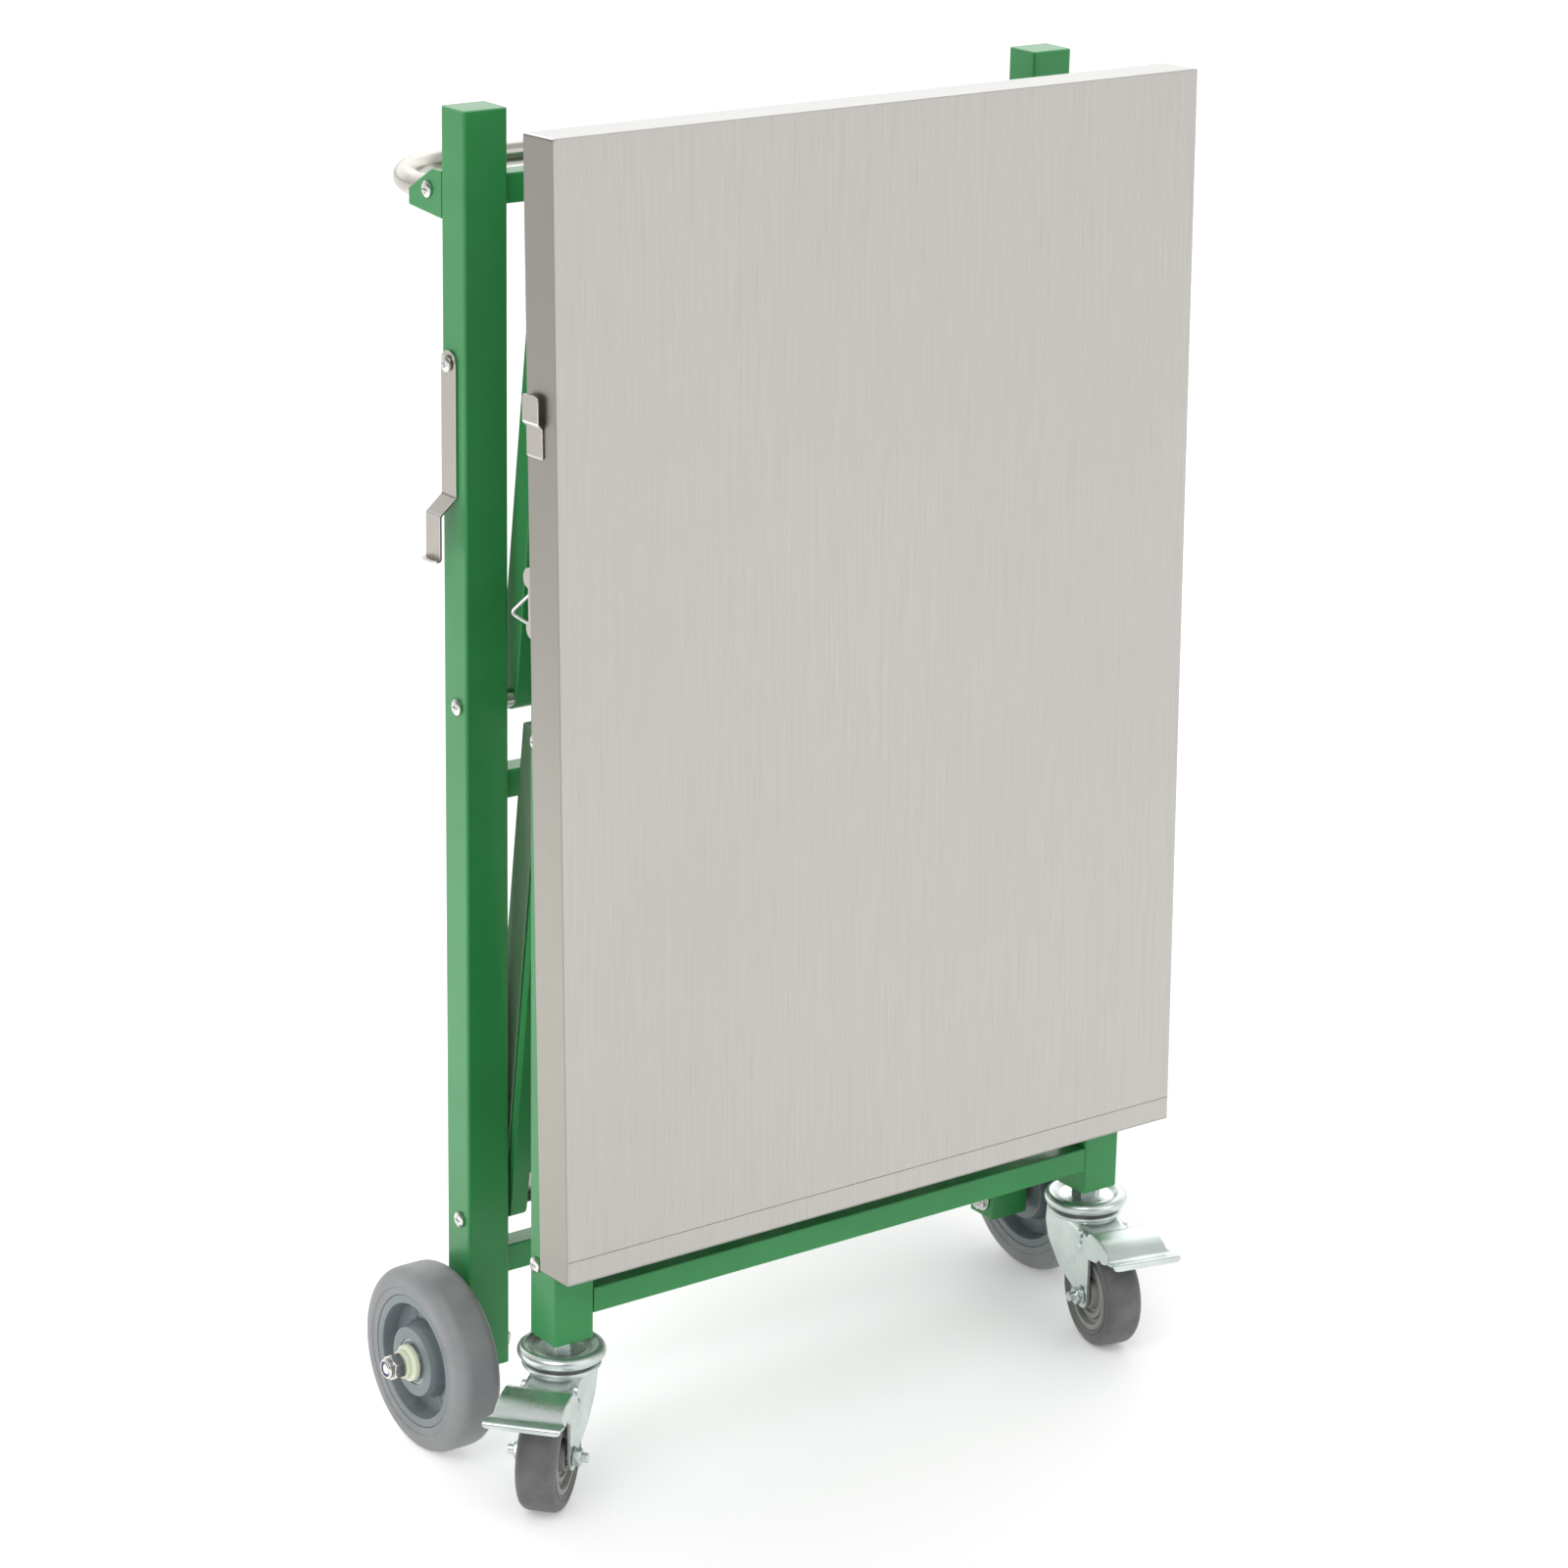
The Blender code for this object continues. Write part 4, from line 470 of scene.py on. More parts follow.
def node(kind, inputs, tree=None, **settings):
    """Add one node to the tree of the sockets that it is given. They are linked, and other values set."""
    linked = {key: value for key, value in inputs.items() if isinstance(value, bpy.types.NodeSocket)}
    tree = tree or next(iter(linked.values())).id_data
    item = tree.nodes.new("ShaderNode" + kind)
    for key, value in settings.items():
        setattr(item, key, value)
    for key, value in inputs.items():
        if key in linked:
            tree.links.new(value, item.inputs[key])
        else:
            item.inputs[key].default_value = value
    return item


def worked(operation, a, b=0, clamp=False):
    """One Math node's result."""
    return node("Math", {0: a, 1: b}, operation=operation, use_clamp=clamp).outputs[0]


def times(a, b, clamp=False):
    """The product of two values."""
    return worked("MULTIPLY", a, b, clamp)


def plus(a, b):
    """The sum of two values."""
    return worked("ADD", a, b)


def away_from(a, b):
    """The distance between two values."""
    return worked("ABSOLUTE", worked("SUBTRACT", a, b))


def remapped(value, low, high, to_low=0, to_high=1):
    """A value taken from one range to another, smoothly and within bounds."""
    inputs = dict(enumerate((value, low, high, to_low, to_high)))
    return node("MapRange", inputs, interpolation_type="SMOOTHSTEP").outputs[0]


def layered(base, *layers):
    """A base colour with others laid over it in turn, each by its own share."""
    for share, colour in layers:
        under, over = (c if isinstance(c, bpy.types.NodeSocket) else (*c, 1) for c in (base, colour))
        base = node("Mix", {0: share, 6: under, 7: over}, data_type="RGBA").outputs[2]
    return base


def noise(place, scale, detail=2, rough=0.5):
    """One noise texture's value."""
    return node("TexNoise", {"Vector": place, "Scale": scale, "Detail": detail,
                                   "Roughness": rough}).outputs["Fac"]


def brushing(given):
    """Long fine scratches of a brushed sheet: noise with the place stretched along one direction."""
    long = node("VectorMath", {0: given["Place"], 1: given["Stretch"]}, operation="MULTIPLY").outputs[0]
    wide = node("VectorMath", {0: long, 1: (0.23, 0.23, 0.23)}, operation="MULTIPLY").outputs[0]
    fine = noise(long, 1, 3, 0.62)
    return {"Streaks": fine, "Bands": noise(wide, 1), "Deep lines": remapped(fine, 0.6, 0.72)}


def edge_wear_and_painted_light(given):
    """From the bend attribute: where handling rubs convex edges, painted light along convex edges, and painted
    shade in hollows.
    """
    bend = node("Attribute", {}, given["Place"].id_data, attribute_name="bend").outputs["Fac"]
    patch = noise(given["Place"], 55, 3, 0.6)
    edge = remapped(plus(bend, times(patch, 0.5)), 0.7, 1.35)
    hollow = remapped(times(bend, -1), 0.08, 0.6)
    # Second mask: painted light along convex edges. Third: painted shade in hollows, scaled by the amount of hollow
    # shade.
    return {"Edge": times(edge, given["Wear"], True), "Rim": remapped(bend, 0.15, 0.8),
            "Hollow": times(hollow, given["Dirt"], True)}


def settled_dust(given):
    """Fine dust: more of it on faces that look up and near the floor, in soft patches."""
    up = node("SeparateXYZ", {0: node("NewGeometry", {}, given["Place"].id_data).outputs["Normal"]}).outputs["Z"]
    height = node("SeparateXYZ", {0: given["Place"]}).outputs["Z"]
    low = remapped(height, 0, 0.16, 1, 0)
    patch = remapped(noise(given["Place"], 34, 4, 0.6), 0.36, 0.74)
    lying = plus(remapped(up, 0.2, 1, 0, 0.8), times(low, 0.5))
    return {"Dust": times(times(patch, lying), given["Amount"], True)}


def mottling(given):
    """Soft cloudy patches, and a fine speckle, each about a middle value of one half."""
    return {"Clouds": noise(given["Place"], given["Size"], 3, 0.55),
            "Speckle": noise(given["Place"], 950, 2, 0.6)}


def coating_grain(given):
    """The gentle orange peel of a sprayed or moulded surface, as a height in metres."""
    peel = noise(given["Place"], given["Scale"], 2, 0.45)
    pores = noise(given["Place"], 2600, 1, 0.5)
    return {"Height": times(plus(peel, times(pores, 0.18)), given["Depth"])}


def hairlines(given):
    """Fine stray scratches in two directions: thin crests of stretched, slightly bent noise."""
    lines = []
    for turn in ((0.3, 0.5, 0.9), (1.1, -0.4, -0.6)):
        laid = node("Mapping", {"Vector": given["Place"], "Rotation": turn, "Scale": (420, 26, 420)})
        crest = away_from(noise(laid.outputs[0], 1, 1), 0.5)
        lines.append(remapped(crest, 0, 0.006, 1, 0))
    patch = remapped(noise(given["Place"], 21), 0.5, 0.68)
    return {"Scratches": times(worked("MAXIMUM", *lines), patch)}


def effect(name, build, outputs, **inputs):
    """Make a shader node group that reads a place and some named values, and fill it in."""
    tree = bpy.data.node_groups.new(name, "ShaderNodeTree")
    tree.interface.new_socket("Place", in_out="INPUT", socket_type="NodeSocketVector")
    for label, value in inputs.items():
        kind = "NodeSocketVector" if isinstance(value, tuple) else "NodeSocketFloat"
        tree.interface.new_socket(label, in_out="INPUT", socket_type=kind).default_value = value
    for label in outputs:
        tree.interface.new_socket(label, in_out="OUTPUT", socket_type="NodeSocketFloat")
    source, result = tree.nodes.new("NodeGroupInput"), tree.nodes.new("NodeGroupOutput")
    for label, value in build(source.outputs).items():
        tree.links.new(value, result.inputs[label])
    return tree


BRUSHING = effect("Brushing", brushing, ("Streaks", "Bands", "Deep lines"), Stretch=(1500, 1500, 26))
EDGE_WEAR_AND_PAINTED_LIGHT = effect("Edge wear and painted light", edge_wear_and_painted_light, ("Edge", "Rim", "Hollow"), Wear=0.5, Dirt=0.5)
SETTLED_DUST = effect("Settled dust", settled_dust, ("Dust",), Amount=0.2)
MOTTLING = effect("Mottling", mottling, ("Clouds", "Speckle"), Size=9)
COATING_GRAIN = effect("Coating grain", coating_grain, ("Height",), Scale=700, Depth=2e-5)
HAIRLINES = effect("Hairlines", hairlines, ("Scratches",))


# ---- materials

def scaled(colour, share):
    """A colour with its parts multiplied by one share, or by three, and kept up to 1."""
    return tuple(min(float(part), 1) for part in np.multiply(colour, share))


def placed(place, *effects):
    """Put effects into a material, each with its own values, and name all their outputs."""
    outputs = {}
    for group, values in effects:
        item = node("Group", {"Place": place, **values}, node_tree=group)
        outputs.update(item.outputs.items())
    return outputs


def new_material(name, metallic, **sockets):
    """A material with one Principled shader, and the place that its patterns read."""
    material = bpy.data.materials.new(name)
    material.use_nodes = True
    shader = material.node_tree.nodes["Principled BSDF"]
    for label, value in {"Metallic": metallic, **sockets}.items():
        shader.inputs[label.replace("_", " ")].default_value = value
    return material, node("TexCoord", {}, material.node_tree).outputs["Object"]


def linked_to_shader(material, **values):
    """Feed values to a material's shader."""
    tree = material.node_tree
    for label, value in values.items():
        tree.links.new(value, tree.nodes["Principled BSDF"].inputs[label.replace("_", " ")])
    return material


def completed(material, base, rough, height, strength):
    """Feed a colour, a roughness and a height in metres to a material's shader."""
    bump = node("Bump", {"Strength": strength, "Distance": 1, "Height": height})
    return linked_to_shader(material, Base_Color=base, Roughness=rough, Normal=bump.outputs[0])


def powder_coat(name, colour, deep, pale):
    """Green powder coat: slight clouding, orange peel, painted highlight on convex edges, painted shade in hollows,
    dull dust.
    """
    material, place = new_material(name, 0, Specular_IOR_Level=0.3, Coat_Weight=0.12,
                                                 Coat_Roughness=0.16)
    seen = placed(place, (MOTTLING, {"Size": 11}), (EDGE_WEAR_AND_PAINTED_LIGHT, {"Wear": 0.35, "Dirt": 0.5}),
                  (SETTLED_DUST, {"Amount": 0.16}), (HAIRLINES, {}),
                  (COATING_GRAIN, {"Scale": 520, "Depth": 2.2e-5}))
    dust, lines = seen["Dust"], seen["Scratches"]
    # The pale colour on edges is a painted highlight, and the darker green in hollows is painted shade.
    base = layered(deep, (remapped(seen["Clouds"], 0.25, 0.75), colour),
                   (times(seen["Rim"], 0.35), pale), (seen["Hollow"], scaled(deep, 0.45)),
                   (times(lines, 0.16), pale), (dust, (0.52, 0.53, 0.49)))
    rough = plus(remapped(seen["Speckle"], 0.2, 0.8, 0.27, 0.36),
                 times(plus(dust, lines), 0.3))
    return completed(material, base, rough, seen["Height"], 0.8)


def brushed_metal(name, colour, tone, stretch, rough=(0.26, 0.38), grain=1.4e-6, turn=None, seam=None,
                  edge=(0.93, 0.93, 0.93)):
    """Brushed stainless: long streaks in colour, roughness and height, with painted light in the edge colour along
    edges, and painted shade in hollows.

    A seam is a thin dark line at one height, where a strip meets the sheet.
    """
    material, place = new_material(name, 1)
    if turn:
        place = node("Mapping", {"Vector": place, "Rotation": turn}).outputs[0]
    seen = placed(place, (BRUSHING, {"Stretch": stretch}), (MOTTLING, {"Size": 4}),
                  (EDGE_WEAR_AND_PAINTED_LIGHT, {"Wear": 0.6, "Dirt": 0.5}), (HAIRLINES, {}))
    streaks, clouds = seen["Streaks"], seen["Clouds"]
    # The edge colour is painted edge light, a bright sheen by default; the last layer is painted shade in hollows.
    base = layered(scaled(colour, 1 - tone), (remapped(streaks, 0.3, 0.7), scaled(colour, 1 + tone)),
                   (remapped(seen["Bands"], 0.35, 0.7, 0, 0.35), scaled(colour, (0.97, 1, 1.01))),
                   (remapped(clouds, 0.3, 0.8, 0, 0.3), scaled(colour, 0.94)),
                   (times(seen["Deep lines"], 0.22), scaled(colour, 0.62)),
                   (times(seen["Rim"], 0.6), edge), (seen["Hollow"], scaled(colour, 0.35)))
    height = times(streaks, grain)
    if seam is not None:
        level = node("SeparateXYZ", {0: place}).outputs["Z"]
        line = remapped(away_from(level, seam), 0.00012, 0.0004, 1, 0)
        base = layered(base, (times(line, 0.75), (0.1, 0.095, 0.09)))
        height = worked("SUBTRACT", height, times(line, 2e-4))
    roughness = plus(remapped(streaks, 0.25, 0.75, *rough),
                     times(plus(clouds, seen["Scratches"]), 0.06))
    return completed(material, base, roughness, height, 1)


def plated_metal(name, colour, tint, rough, size=26):
    """Zinc or chrome plate: cloudy tint, tiny pits, painted shade in hollows, and hairlines."""
    material, place = new_material(name, 1)
    seen = placed(place, (MOTTLING, {"Size": size}), (EDGE_WEAR_AND_PAINTED_LIGHT, {"Wear": 0.5, "Dirt": 0.35}),
                  (HAIRLINES, {}), (SETTLED_DUST, {"Amount": 0.1}),
                  (COATING_GRAIN, {"Scale": 380, "Depth": 1e-5}))
    clouds, dust, lines = seen["Clouds"], seen["Dust"], seen["Scratches"]
    # The darkened colour in hollows is painted shade.
    base = layered(colour, (remapped(clouds, 0.3, 0.7), tint),
                   (times(lines, 0.15), scaled(colour, 0.7)), (seen["Hollow"], scaled(colour, 0.3)),
                   (dust, (0.42, 0.42, 0.4)))
    roughness = plus(remapped(seen["Speckle"], 0.2, 0.8, rough * 0.8, rough * 1.25),
                     plus(remapped(clouds, 0.3, 0.8, 0, rough * 0.5),
                          times(plus(dust, lines), 0.25)))
    return completed(material, base, roughness, seen["Height"], 0.7)


def moulded(name, colour, pale, rough, scale=1500, depth=1.4e-5, dusty=0.3, **sockets):
    """Rubber, plastic or nylon: faint clouding, a matt grain, rubbed edges, painted shade in hollows, and dust."""
    material, place = new_material(name, 0, **sockets)
    seen = placed(place, (MOTTLING, {"Size": 30}), (EDGE_WEAR_AND_PAINTED_LIGHT, {"Wear": 0.6, "Dirt": 0.8}),
                  (SETTLED_DUST, {"Amount": dusty}), (COATING_GRAIN, {"Scale": scale, "Depth": depth}))
    speckle, dust = seen["Speckle"], seen["Dust"]
    # The darker colour in hollows is painted shade; the pale on rubbed edges is wear.
    base = layered(scaled(colour, 0.93), (remapped(seen["Clouds"], 0.25, 0.75), scaled(colour, 1.06)),
                   (times(remapped(speckle, 0.55, 0.8), 0.12), pale),
                   (times(seen["Edge"], 0.5), pale), (seen["Hollow"], scaled(colour, 0.45)),
                   (dust, (0.5, 0.49, 0.46)))
    roughness = plus(remapped(speckle, 0.2, 0.8, rough - 0.05, rough + 0.05), times(dust, 0.3))
    return completed(material, base, roughness, seen["Height"], 0.8)


LEAN_BACK = (TOP_LEAN, 0, 0)
GREEN = powder_coat("green_powder_coat", (0.042, 0.29, 0.088), (0.035, 0.255, 0.074), (0.24, 0.56, 0.3))
SHELF_SHEET = brushed_metal("brushed_shelf_sheet", (0.62, 0.595, 0.56), 0.05, (1300, 1300, 22))
# The table top's face, lips and ends are one sheet. The lips take a darker copy, painted shade. The face and lips
# take a dark edge colour, painted shade along their edges, and the ends keep the bright default edge, a painted
# highlight.
TOP_SHEET = brushed_metal("brushed_top_face", (0.532, 0.513, 0.484), 0.085, (1500, 1500, 17), (0.34, 0.46), 2.2e-6,
                          turn=LEAN_BACK, seam=SEAM_HEIGHT, edge=(0.26, 0.25, 0.23))
SHADED_LIP_SHEET = brushed_metal("shade_painted_top_lips", (0.29, 0.275, 0.248), 0.02, (1200, 1200, 60), (0.3, 0.38),
                          turn=LEAN_BACK, edge=(0.2, 0.19, 0.175))
END_SHEET = brushed_metal("bright_top_ends", (0.5, 0.495, 0.485), 0.02, (60, 1200, 1200), (0.3, 0.38),
                          turn=LEAN_BACK)
STRAP_METAL = brushed_metal("satin_strap", (0.43, 0.405, 0.365), 0.06, (1700, 1700, 90), (0.27, 0.36))
HANDLE_METAL = brushed_metal("polished_tube", (0.5, 0.475, 0.43), 0.03, (60, 1500, 1500), (0.17, 0.24), 6e-7)
BOLT_METAL = plated_metal("bright_bolt_steel", (0.72, 0.71, 0.68), (0.64, 0.63, 0.61), 0.17)
ZINC = plated_metal("bright_zinc_plate", (0.7, 0.75, 0.73), (0.61, 0.67, 0.65), 0.27, 34)
# Dark steel for the bearing balls and the swivel ring: painted shade in their gaps.
BEARING_DARK = plated_metal("bearing_shadow_steel", (0.16, 0.155, 0.15), (0.1, 0.1, 0.1), 0.35)
TYRE = moulded("grey_tyre_rubber", (0.255, 0.262, 0.27), (0.4, 0.4, 0.4), 0.52)
RIM = moulded("grey_rim_plastic", (0.185, 0.218, 0.235), (0.36, 0.39, 0.4), 0.36, 900)
CASTER_TYRE = moulded("dark_caster_rubber", (0.105, 0.104, 0.108), (0.25, 0.25, 0.25), 0.46)
CASTER_RIM = moulded("caster_rim_plastic", (0.24, 0.24, 0.225), (0.4, 0.4, 0.38), 0.42)
NYLON = moulded("cream_nylon", (0.8, 0.8, 0.6), (0.9, 0.9, 0.76), 0.4, 700, 1e-5, 0.1,
                Subsurface_Weight=0.15)
VIOLET = moulded("violet_lock_ring", (0.03, 0.022, 0.17), (0.12, 0.11, 0.3), 0.35, 700, 1e-5, 0.05)


# ---- frames, handle and links

def post_outline(side, inner, outer, front, rear):
    """The eased outline of a post on one side."""
    low_x, high_x = sorted((side * inner, side * outer))
    return eased(box_outline((low_x, front), (high_x, rear)), POST_ROUND, 6)


def square_bar(half_long, low, high):
    """A square tube along X between two posts, with eased corners."""
    return slab(eased(box_outline(low, high), BAR_ROUND, 5), -half_long, half_long, BAR_RIM)


def rear_frame_pieces():
    """Posts, open at the foot, and crossbars of the taller frame."""
    for word, side in SIDES:
        outline = wound(post_outline(side, POST_INNER, POST_OUTER, -POST_HALF_DEEP, POST_HALF_DEEP))
        loops, heights = cup(outline, TUBE_WALL, POST_TOP, POST_FOOT, POST_RIM, 5)
        post = facing(loops[..., 0], loops[..., 1], heights, "z")
        piece("powder_coated_rear_post_" + word, GREEN, "rear_post_" + word, settled(post))
    for word, top in REAR_BAR_TOPS.items():
        bar = square_bar(POST_INNER - BAR_GAP, (-BAR_DEEP / 2, top - BAR_TALL), (BAR_DEEP / 2, top))
        piece("powder_coated_rear_bar_" + word, GREEN, "rear_crossbar_" + word, settled(bar))


def handle_pieces():
    """The bent push handle, a round section carried along two arms, two quarter bends and a run."""
    arm = [(-HANDLE_X, HANDLE_START_Y), (-HANDLE_X, HANDLE_START_Y + 0.02)]
    curve = arc((HANDLE_BEND - HANDLE_X, HANDLE_BEND_Y), HANDLE_BEND, 180, 90, 26)
    half = np.concatenate([arm, curve, [(-0.1, HANDLE_REACH), (0, HANDLE_REACH)]])
    fall = np.clip((half[:, 1] - HANDLE_START_Y) / (HANDLE_BEND_Y - HANDLE_START_Y), 0, 1)
    half = np.column_stack([half, HANDLE_Z - HANDLE_FALL * fall])
    path = np.concatenate([half, (half * (-1, 1, 1))[-2::-1]])
    piece("polished_push_handle", HANDLE_METAL, "handle", settled(carried(path, HANDLE_RADIUS, 48)))
    for word, _ in SIDES:
        kept_form("handle_bracket_" + word, GREEN, 0.0006)


def cross_bolt(node_name, side, y, z, head_x, end_x, sleeve=None, nut=True):
    """A pan head screw along X, with its shank, a sleeve (outer end, inner end, radius) and a nut."""
    under, r, rim = head_x + 0.0003, SHANK_RADIUS, 0.0003
    shells = [pan_head(under, "cross" if nut else "round"),
              turned([(0, under + 0.0005), (r, under + 0.0005), (r, end_x + 0.0006), (r * 0.8, end_x), (0, end_x)],
                     "x", 32)]
    if sleeve:
        outer, inner, radius = sleeve
        shells.append(turned(ring([(radius - rim, outer), (radius, outer - rim), (radius, inner + rim),
                                   (radius - rim, inner), (r * 0.95, inner), (r * 0.95, outer)]), "x", 40))
    if nut:
        shells.append(hexagonal(NUT_WIDE, end_x + 0.0001, end_x + NUT_TALL, sides=72))
    piece("bright_" + node_name, BOLT_METAL, node_name,
          *[settled(grid * (side, 1, 1), (0, y, z)) for grid in shells])


def bolt_pieces():
    """All pan head screws: where each stands, where its head and nut sit, and its sleeve."""
    post_in, front_in = POST_INNER - BAR_GAP, FRONT_INNER - BAR_GAP
    rows = (("handle_bolt_", HANDLE_BOLT_Y, HANDLE_BOLT_Z, POST_OUTER, 0.2551, None),
            ("upper_pivot_bolt_", PIVOT_Y, UPPER_PIVOT_Z, POST_OUTER, REAR_LINK_HALF - LINK_TUBE,
             (post_in, 0.2393, 0.007)),
            ("lower_pivot_bolt_", PIVOT_Y, LOWER_PIVOT_Z, POST_OUTER, 0.2418, (post_in, 0.2446, 0.004)),
            ("front_bolt_upper_", FRONT_PIVOT_Y, UPPER_PIVOT_Z, FRONT_OUTER, FRONT_LINK_HALF - LINK_TUBE,
             (front_in, 0.2137, 0.007)),
            ("front_bolt_lower_", FRONT_PIVOT_Y, LOWER_PIVOT_Z, FRONT_OUTER, 0.2245, (0.2443, 0.2273, 0.004)))
    for word, side in SIDES:
        for label, y, z, head_x, seat, sleeve in rows:
            cross_bolt(label + word, side, y, z, head_x, seat - NUT_ROOM, sleeve)
    cross_bolt("hook_screw", -1, *HOOK_PIVOT[1:], POST_OUTER + 0.0026, POST_OUTER - 0.019, nut=False)


def link_frame(node_name, half_wide, face, foot, lean):
    """Half of the upper link: two round-ended square tubes and two cross tubes, laid to its lean."""
    half = LINK_TUBE / 2
    middle = face * 0.005
    outline = np.concatenate([arc((middle, 0), half, 180, 360, 14), arc((middle, LINK), half, 0, 180, 14)])
    shells = []
    for side in (-1, 1):
        low_x, high_x = sorted((side * (half_wide - LINK_TUBE), side * half_wide))
        shells.append(slab(outline, low_x, high_x, LINK_ROUND, steps=5))
    for z in (0.075, LINK - 0.075):
        box = box_outline((middle - half + 0.0015, z - half), (middle + half - 0.0015, z + half))
        shells.append(slab(eased(box, 0.0018, 4), -half_wide + 0.023, half_wide - 0.023, 0.0002))
    piece("powder_coated_" + node_name, GREEN, node_name,
          *[settled(grid, foot, about_x=lean) for grid in shells])


def link_pieces():
    """Upper link frames, hinge rod, and the two shelf halves with their channels."""
    link_frame("upper_frame_rear", REAR_LINK_HALF, 1, (0, PIVOT_Y, UPPER_PIVOT_Z), LINK_LEAN)
    link_frame("upper_frame_front", FRONT_LINK_HALF, -1, (0, FRONT_PIVOT_Y, UPPER_PIVOT_Z), -LINK_LEAN)
    kept_form("upper_hinge_rod", BOLT_METAL, 0.0002)
    for word in ("rear", "front"):
        kept_form("lower_frame_" + word, GREEN, 0.0004)
        kept_form("lower_tray_" + word, SHELF_SHEET, 0.0003)


def front_frame_pieces():
    """Posts with their ears, and the crossbars, of the front frame."""
    for word, side in SIDES:
        outline = post_outline(side, FRONT_INNER, FRONT_OUTER, FRONT_FACE_Y, FRONT_REAR_Y)
        post = slab(outline, FRONT_FOOT, FRONT_TOP, POST_RIM, "z", 4)
        front, rear = FRONT_FACE_Y + 0.0022, FRONT_FACE_Y + 0.0182
        ear = np.concatenate([[(front, FRONT_TOP - 0.0015), (rear, FRONT_TOP - 0.0015), (rear, FRONT_TOP + 0.0015)],
                              arc((TOP_AXIS_Y, TOP_AXIS_Z), EAR_RADIUS, 45, 225, 14)])
        plate = slab(ear, side * EAR_X - EAR_HALF_THICK, side * EAR_X + EAR_HALF_THICK, 0.0006)
        piece("powder_coated_front_post_" + word, GREEN, "front_post_" + word, settled(post), settled(plate))
    low = square_bar(FRONT_INNER - BAR_GAP, (FRONT_FACE_Y, FRONT_BAR_TOP - FRONT_BAR_TALL),
                     (FRONT_FACE_Y + FRONT_BAR_TALL, FRONT_BAR_TOP))
    piece("powder_coated_front_bar_lower", GREEN, "front_crossbar_lower", settled(low))
    kept_form("front_crossbar_upper", GREEN)


# ---- rear wheels

def ribbed_rim():
    """The rear rim: a dished profile turned about X, with six ribs that rise 1.6 mm from the dish.

    A rib's share is 3 s^2 - 2 s^3, s falling from 1 to 0 between 1.8 and 3.4 mm off its middle line.
    """
    face = [(0.054, 0.0168), (0.054, 0.018), (0.0474, 0.018), (0.0452, 0.0046), (0.031, 0.0046),
            (0.0296, 0.015), (0.028, 0.0197), (0.0184, 0.0197), (0.0184, 0.018), (0.0066, 0.018)]
    face = eased_line(face, [0, .001, .0016, .003, .003, .003, .0009, .0004, .0003, 0], 5)
    dish = (face[:, 0] > 0.0296) & (face[:, 0] < 0.0455) & (face[:, 1] < 0.008)
    fine = []
    for k in range(len(face) - 1):
        count = 12 if dish[k] and dish[k + 1] and face[k, 0] - face[k + 1, 0] > 0.004 else 1
        fine.append(np.linspace(face[k], face[k + 1], count + 1)[:-1])
    profile = both_faces(np.concatenate(fine + [face[-1:]])[::-1])[::-1]
    sides = 144
    grid = turned(profile, "x", sides)
    radius, height = profile[:, 0, None], profile[:, 1, None]
    angle = round_turn(sides)[None, :]
    away = np.abs((angle * 6 / TAU + 0.5) % 1 - 0.5) * TAU / 6 * radius
    room = np.clip((radius - 0.0302) / 0.001, 0, 1) * np.clip((0.0455 - radius) / 0.001, 0, 1)
    low = np.clip((0.009 - np.abs(height)) / 0.003, 0, 1)
    grid[..., 0] += np.sign(height) * smooth((0.0034 - away) / 0.0016) * room * low * 0.0016
    return grid


def tyre_rows(wall, shoulder, swell, power, steps):
    """A tyre's section: its wall, then a crown (r + a sin^p b, h + c cos^p b), b = 0..90 degrees."""
    turn = np.radians(np.linspace(0, 90, steps + 1))
    crown = np.stack([shoulder[0] + swell[0] * np.sin(turn) ** power,
                      shoulder[1] + swell[1] * np.cos(turn) ** power], axis=1)
    return both_faces(np.concatenate([eased_line(wall, 0.0004), crown[1:]]))


def wheel_pieces():
    """Rear wheels, each with its tyre, ribbed rim, bearing, bush and axle."""
    wall = [(0.0543, 0.018), (0.0546, 0.0186), (0.0606, 0.019), (0.0612, 0.0197), (0.0632, 0.02)]
    for word, side in SIDES:
        def at(grid, out=0):
            return settled((grid + (out, 0, 0)) * (side, 1, 1), (0, 0, WHEEL_RADIUS))
        piece("moulded_rear_rim_" + word, RIM, "rear_rim_" + word, at(ribbed_rim(), WHEEL_MIDDLE), crease=50)
        tyre = turned(tyre_rows(wall, (0.0632, 0.0088), (0.0128, 0.0112), 0.9, 14), "x", 144)
        piece("rubber_rear_tyre_" + word, TYRE, "rear_tyre_" + word, at(tyre, WHEEL_MIDDLE), crease=50)
        bearing(word, at)
        axle_set(word, at)


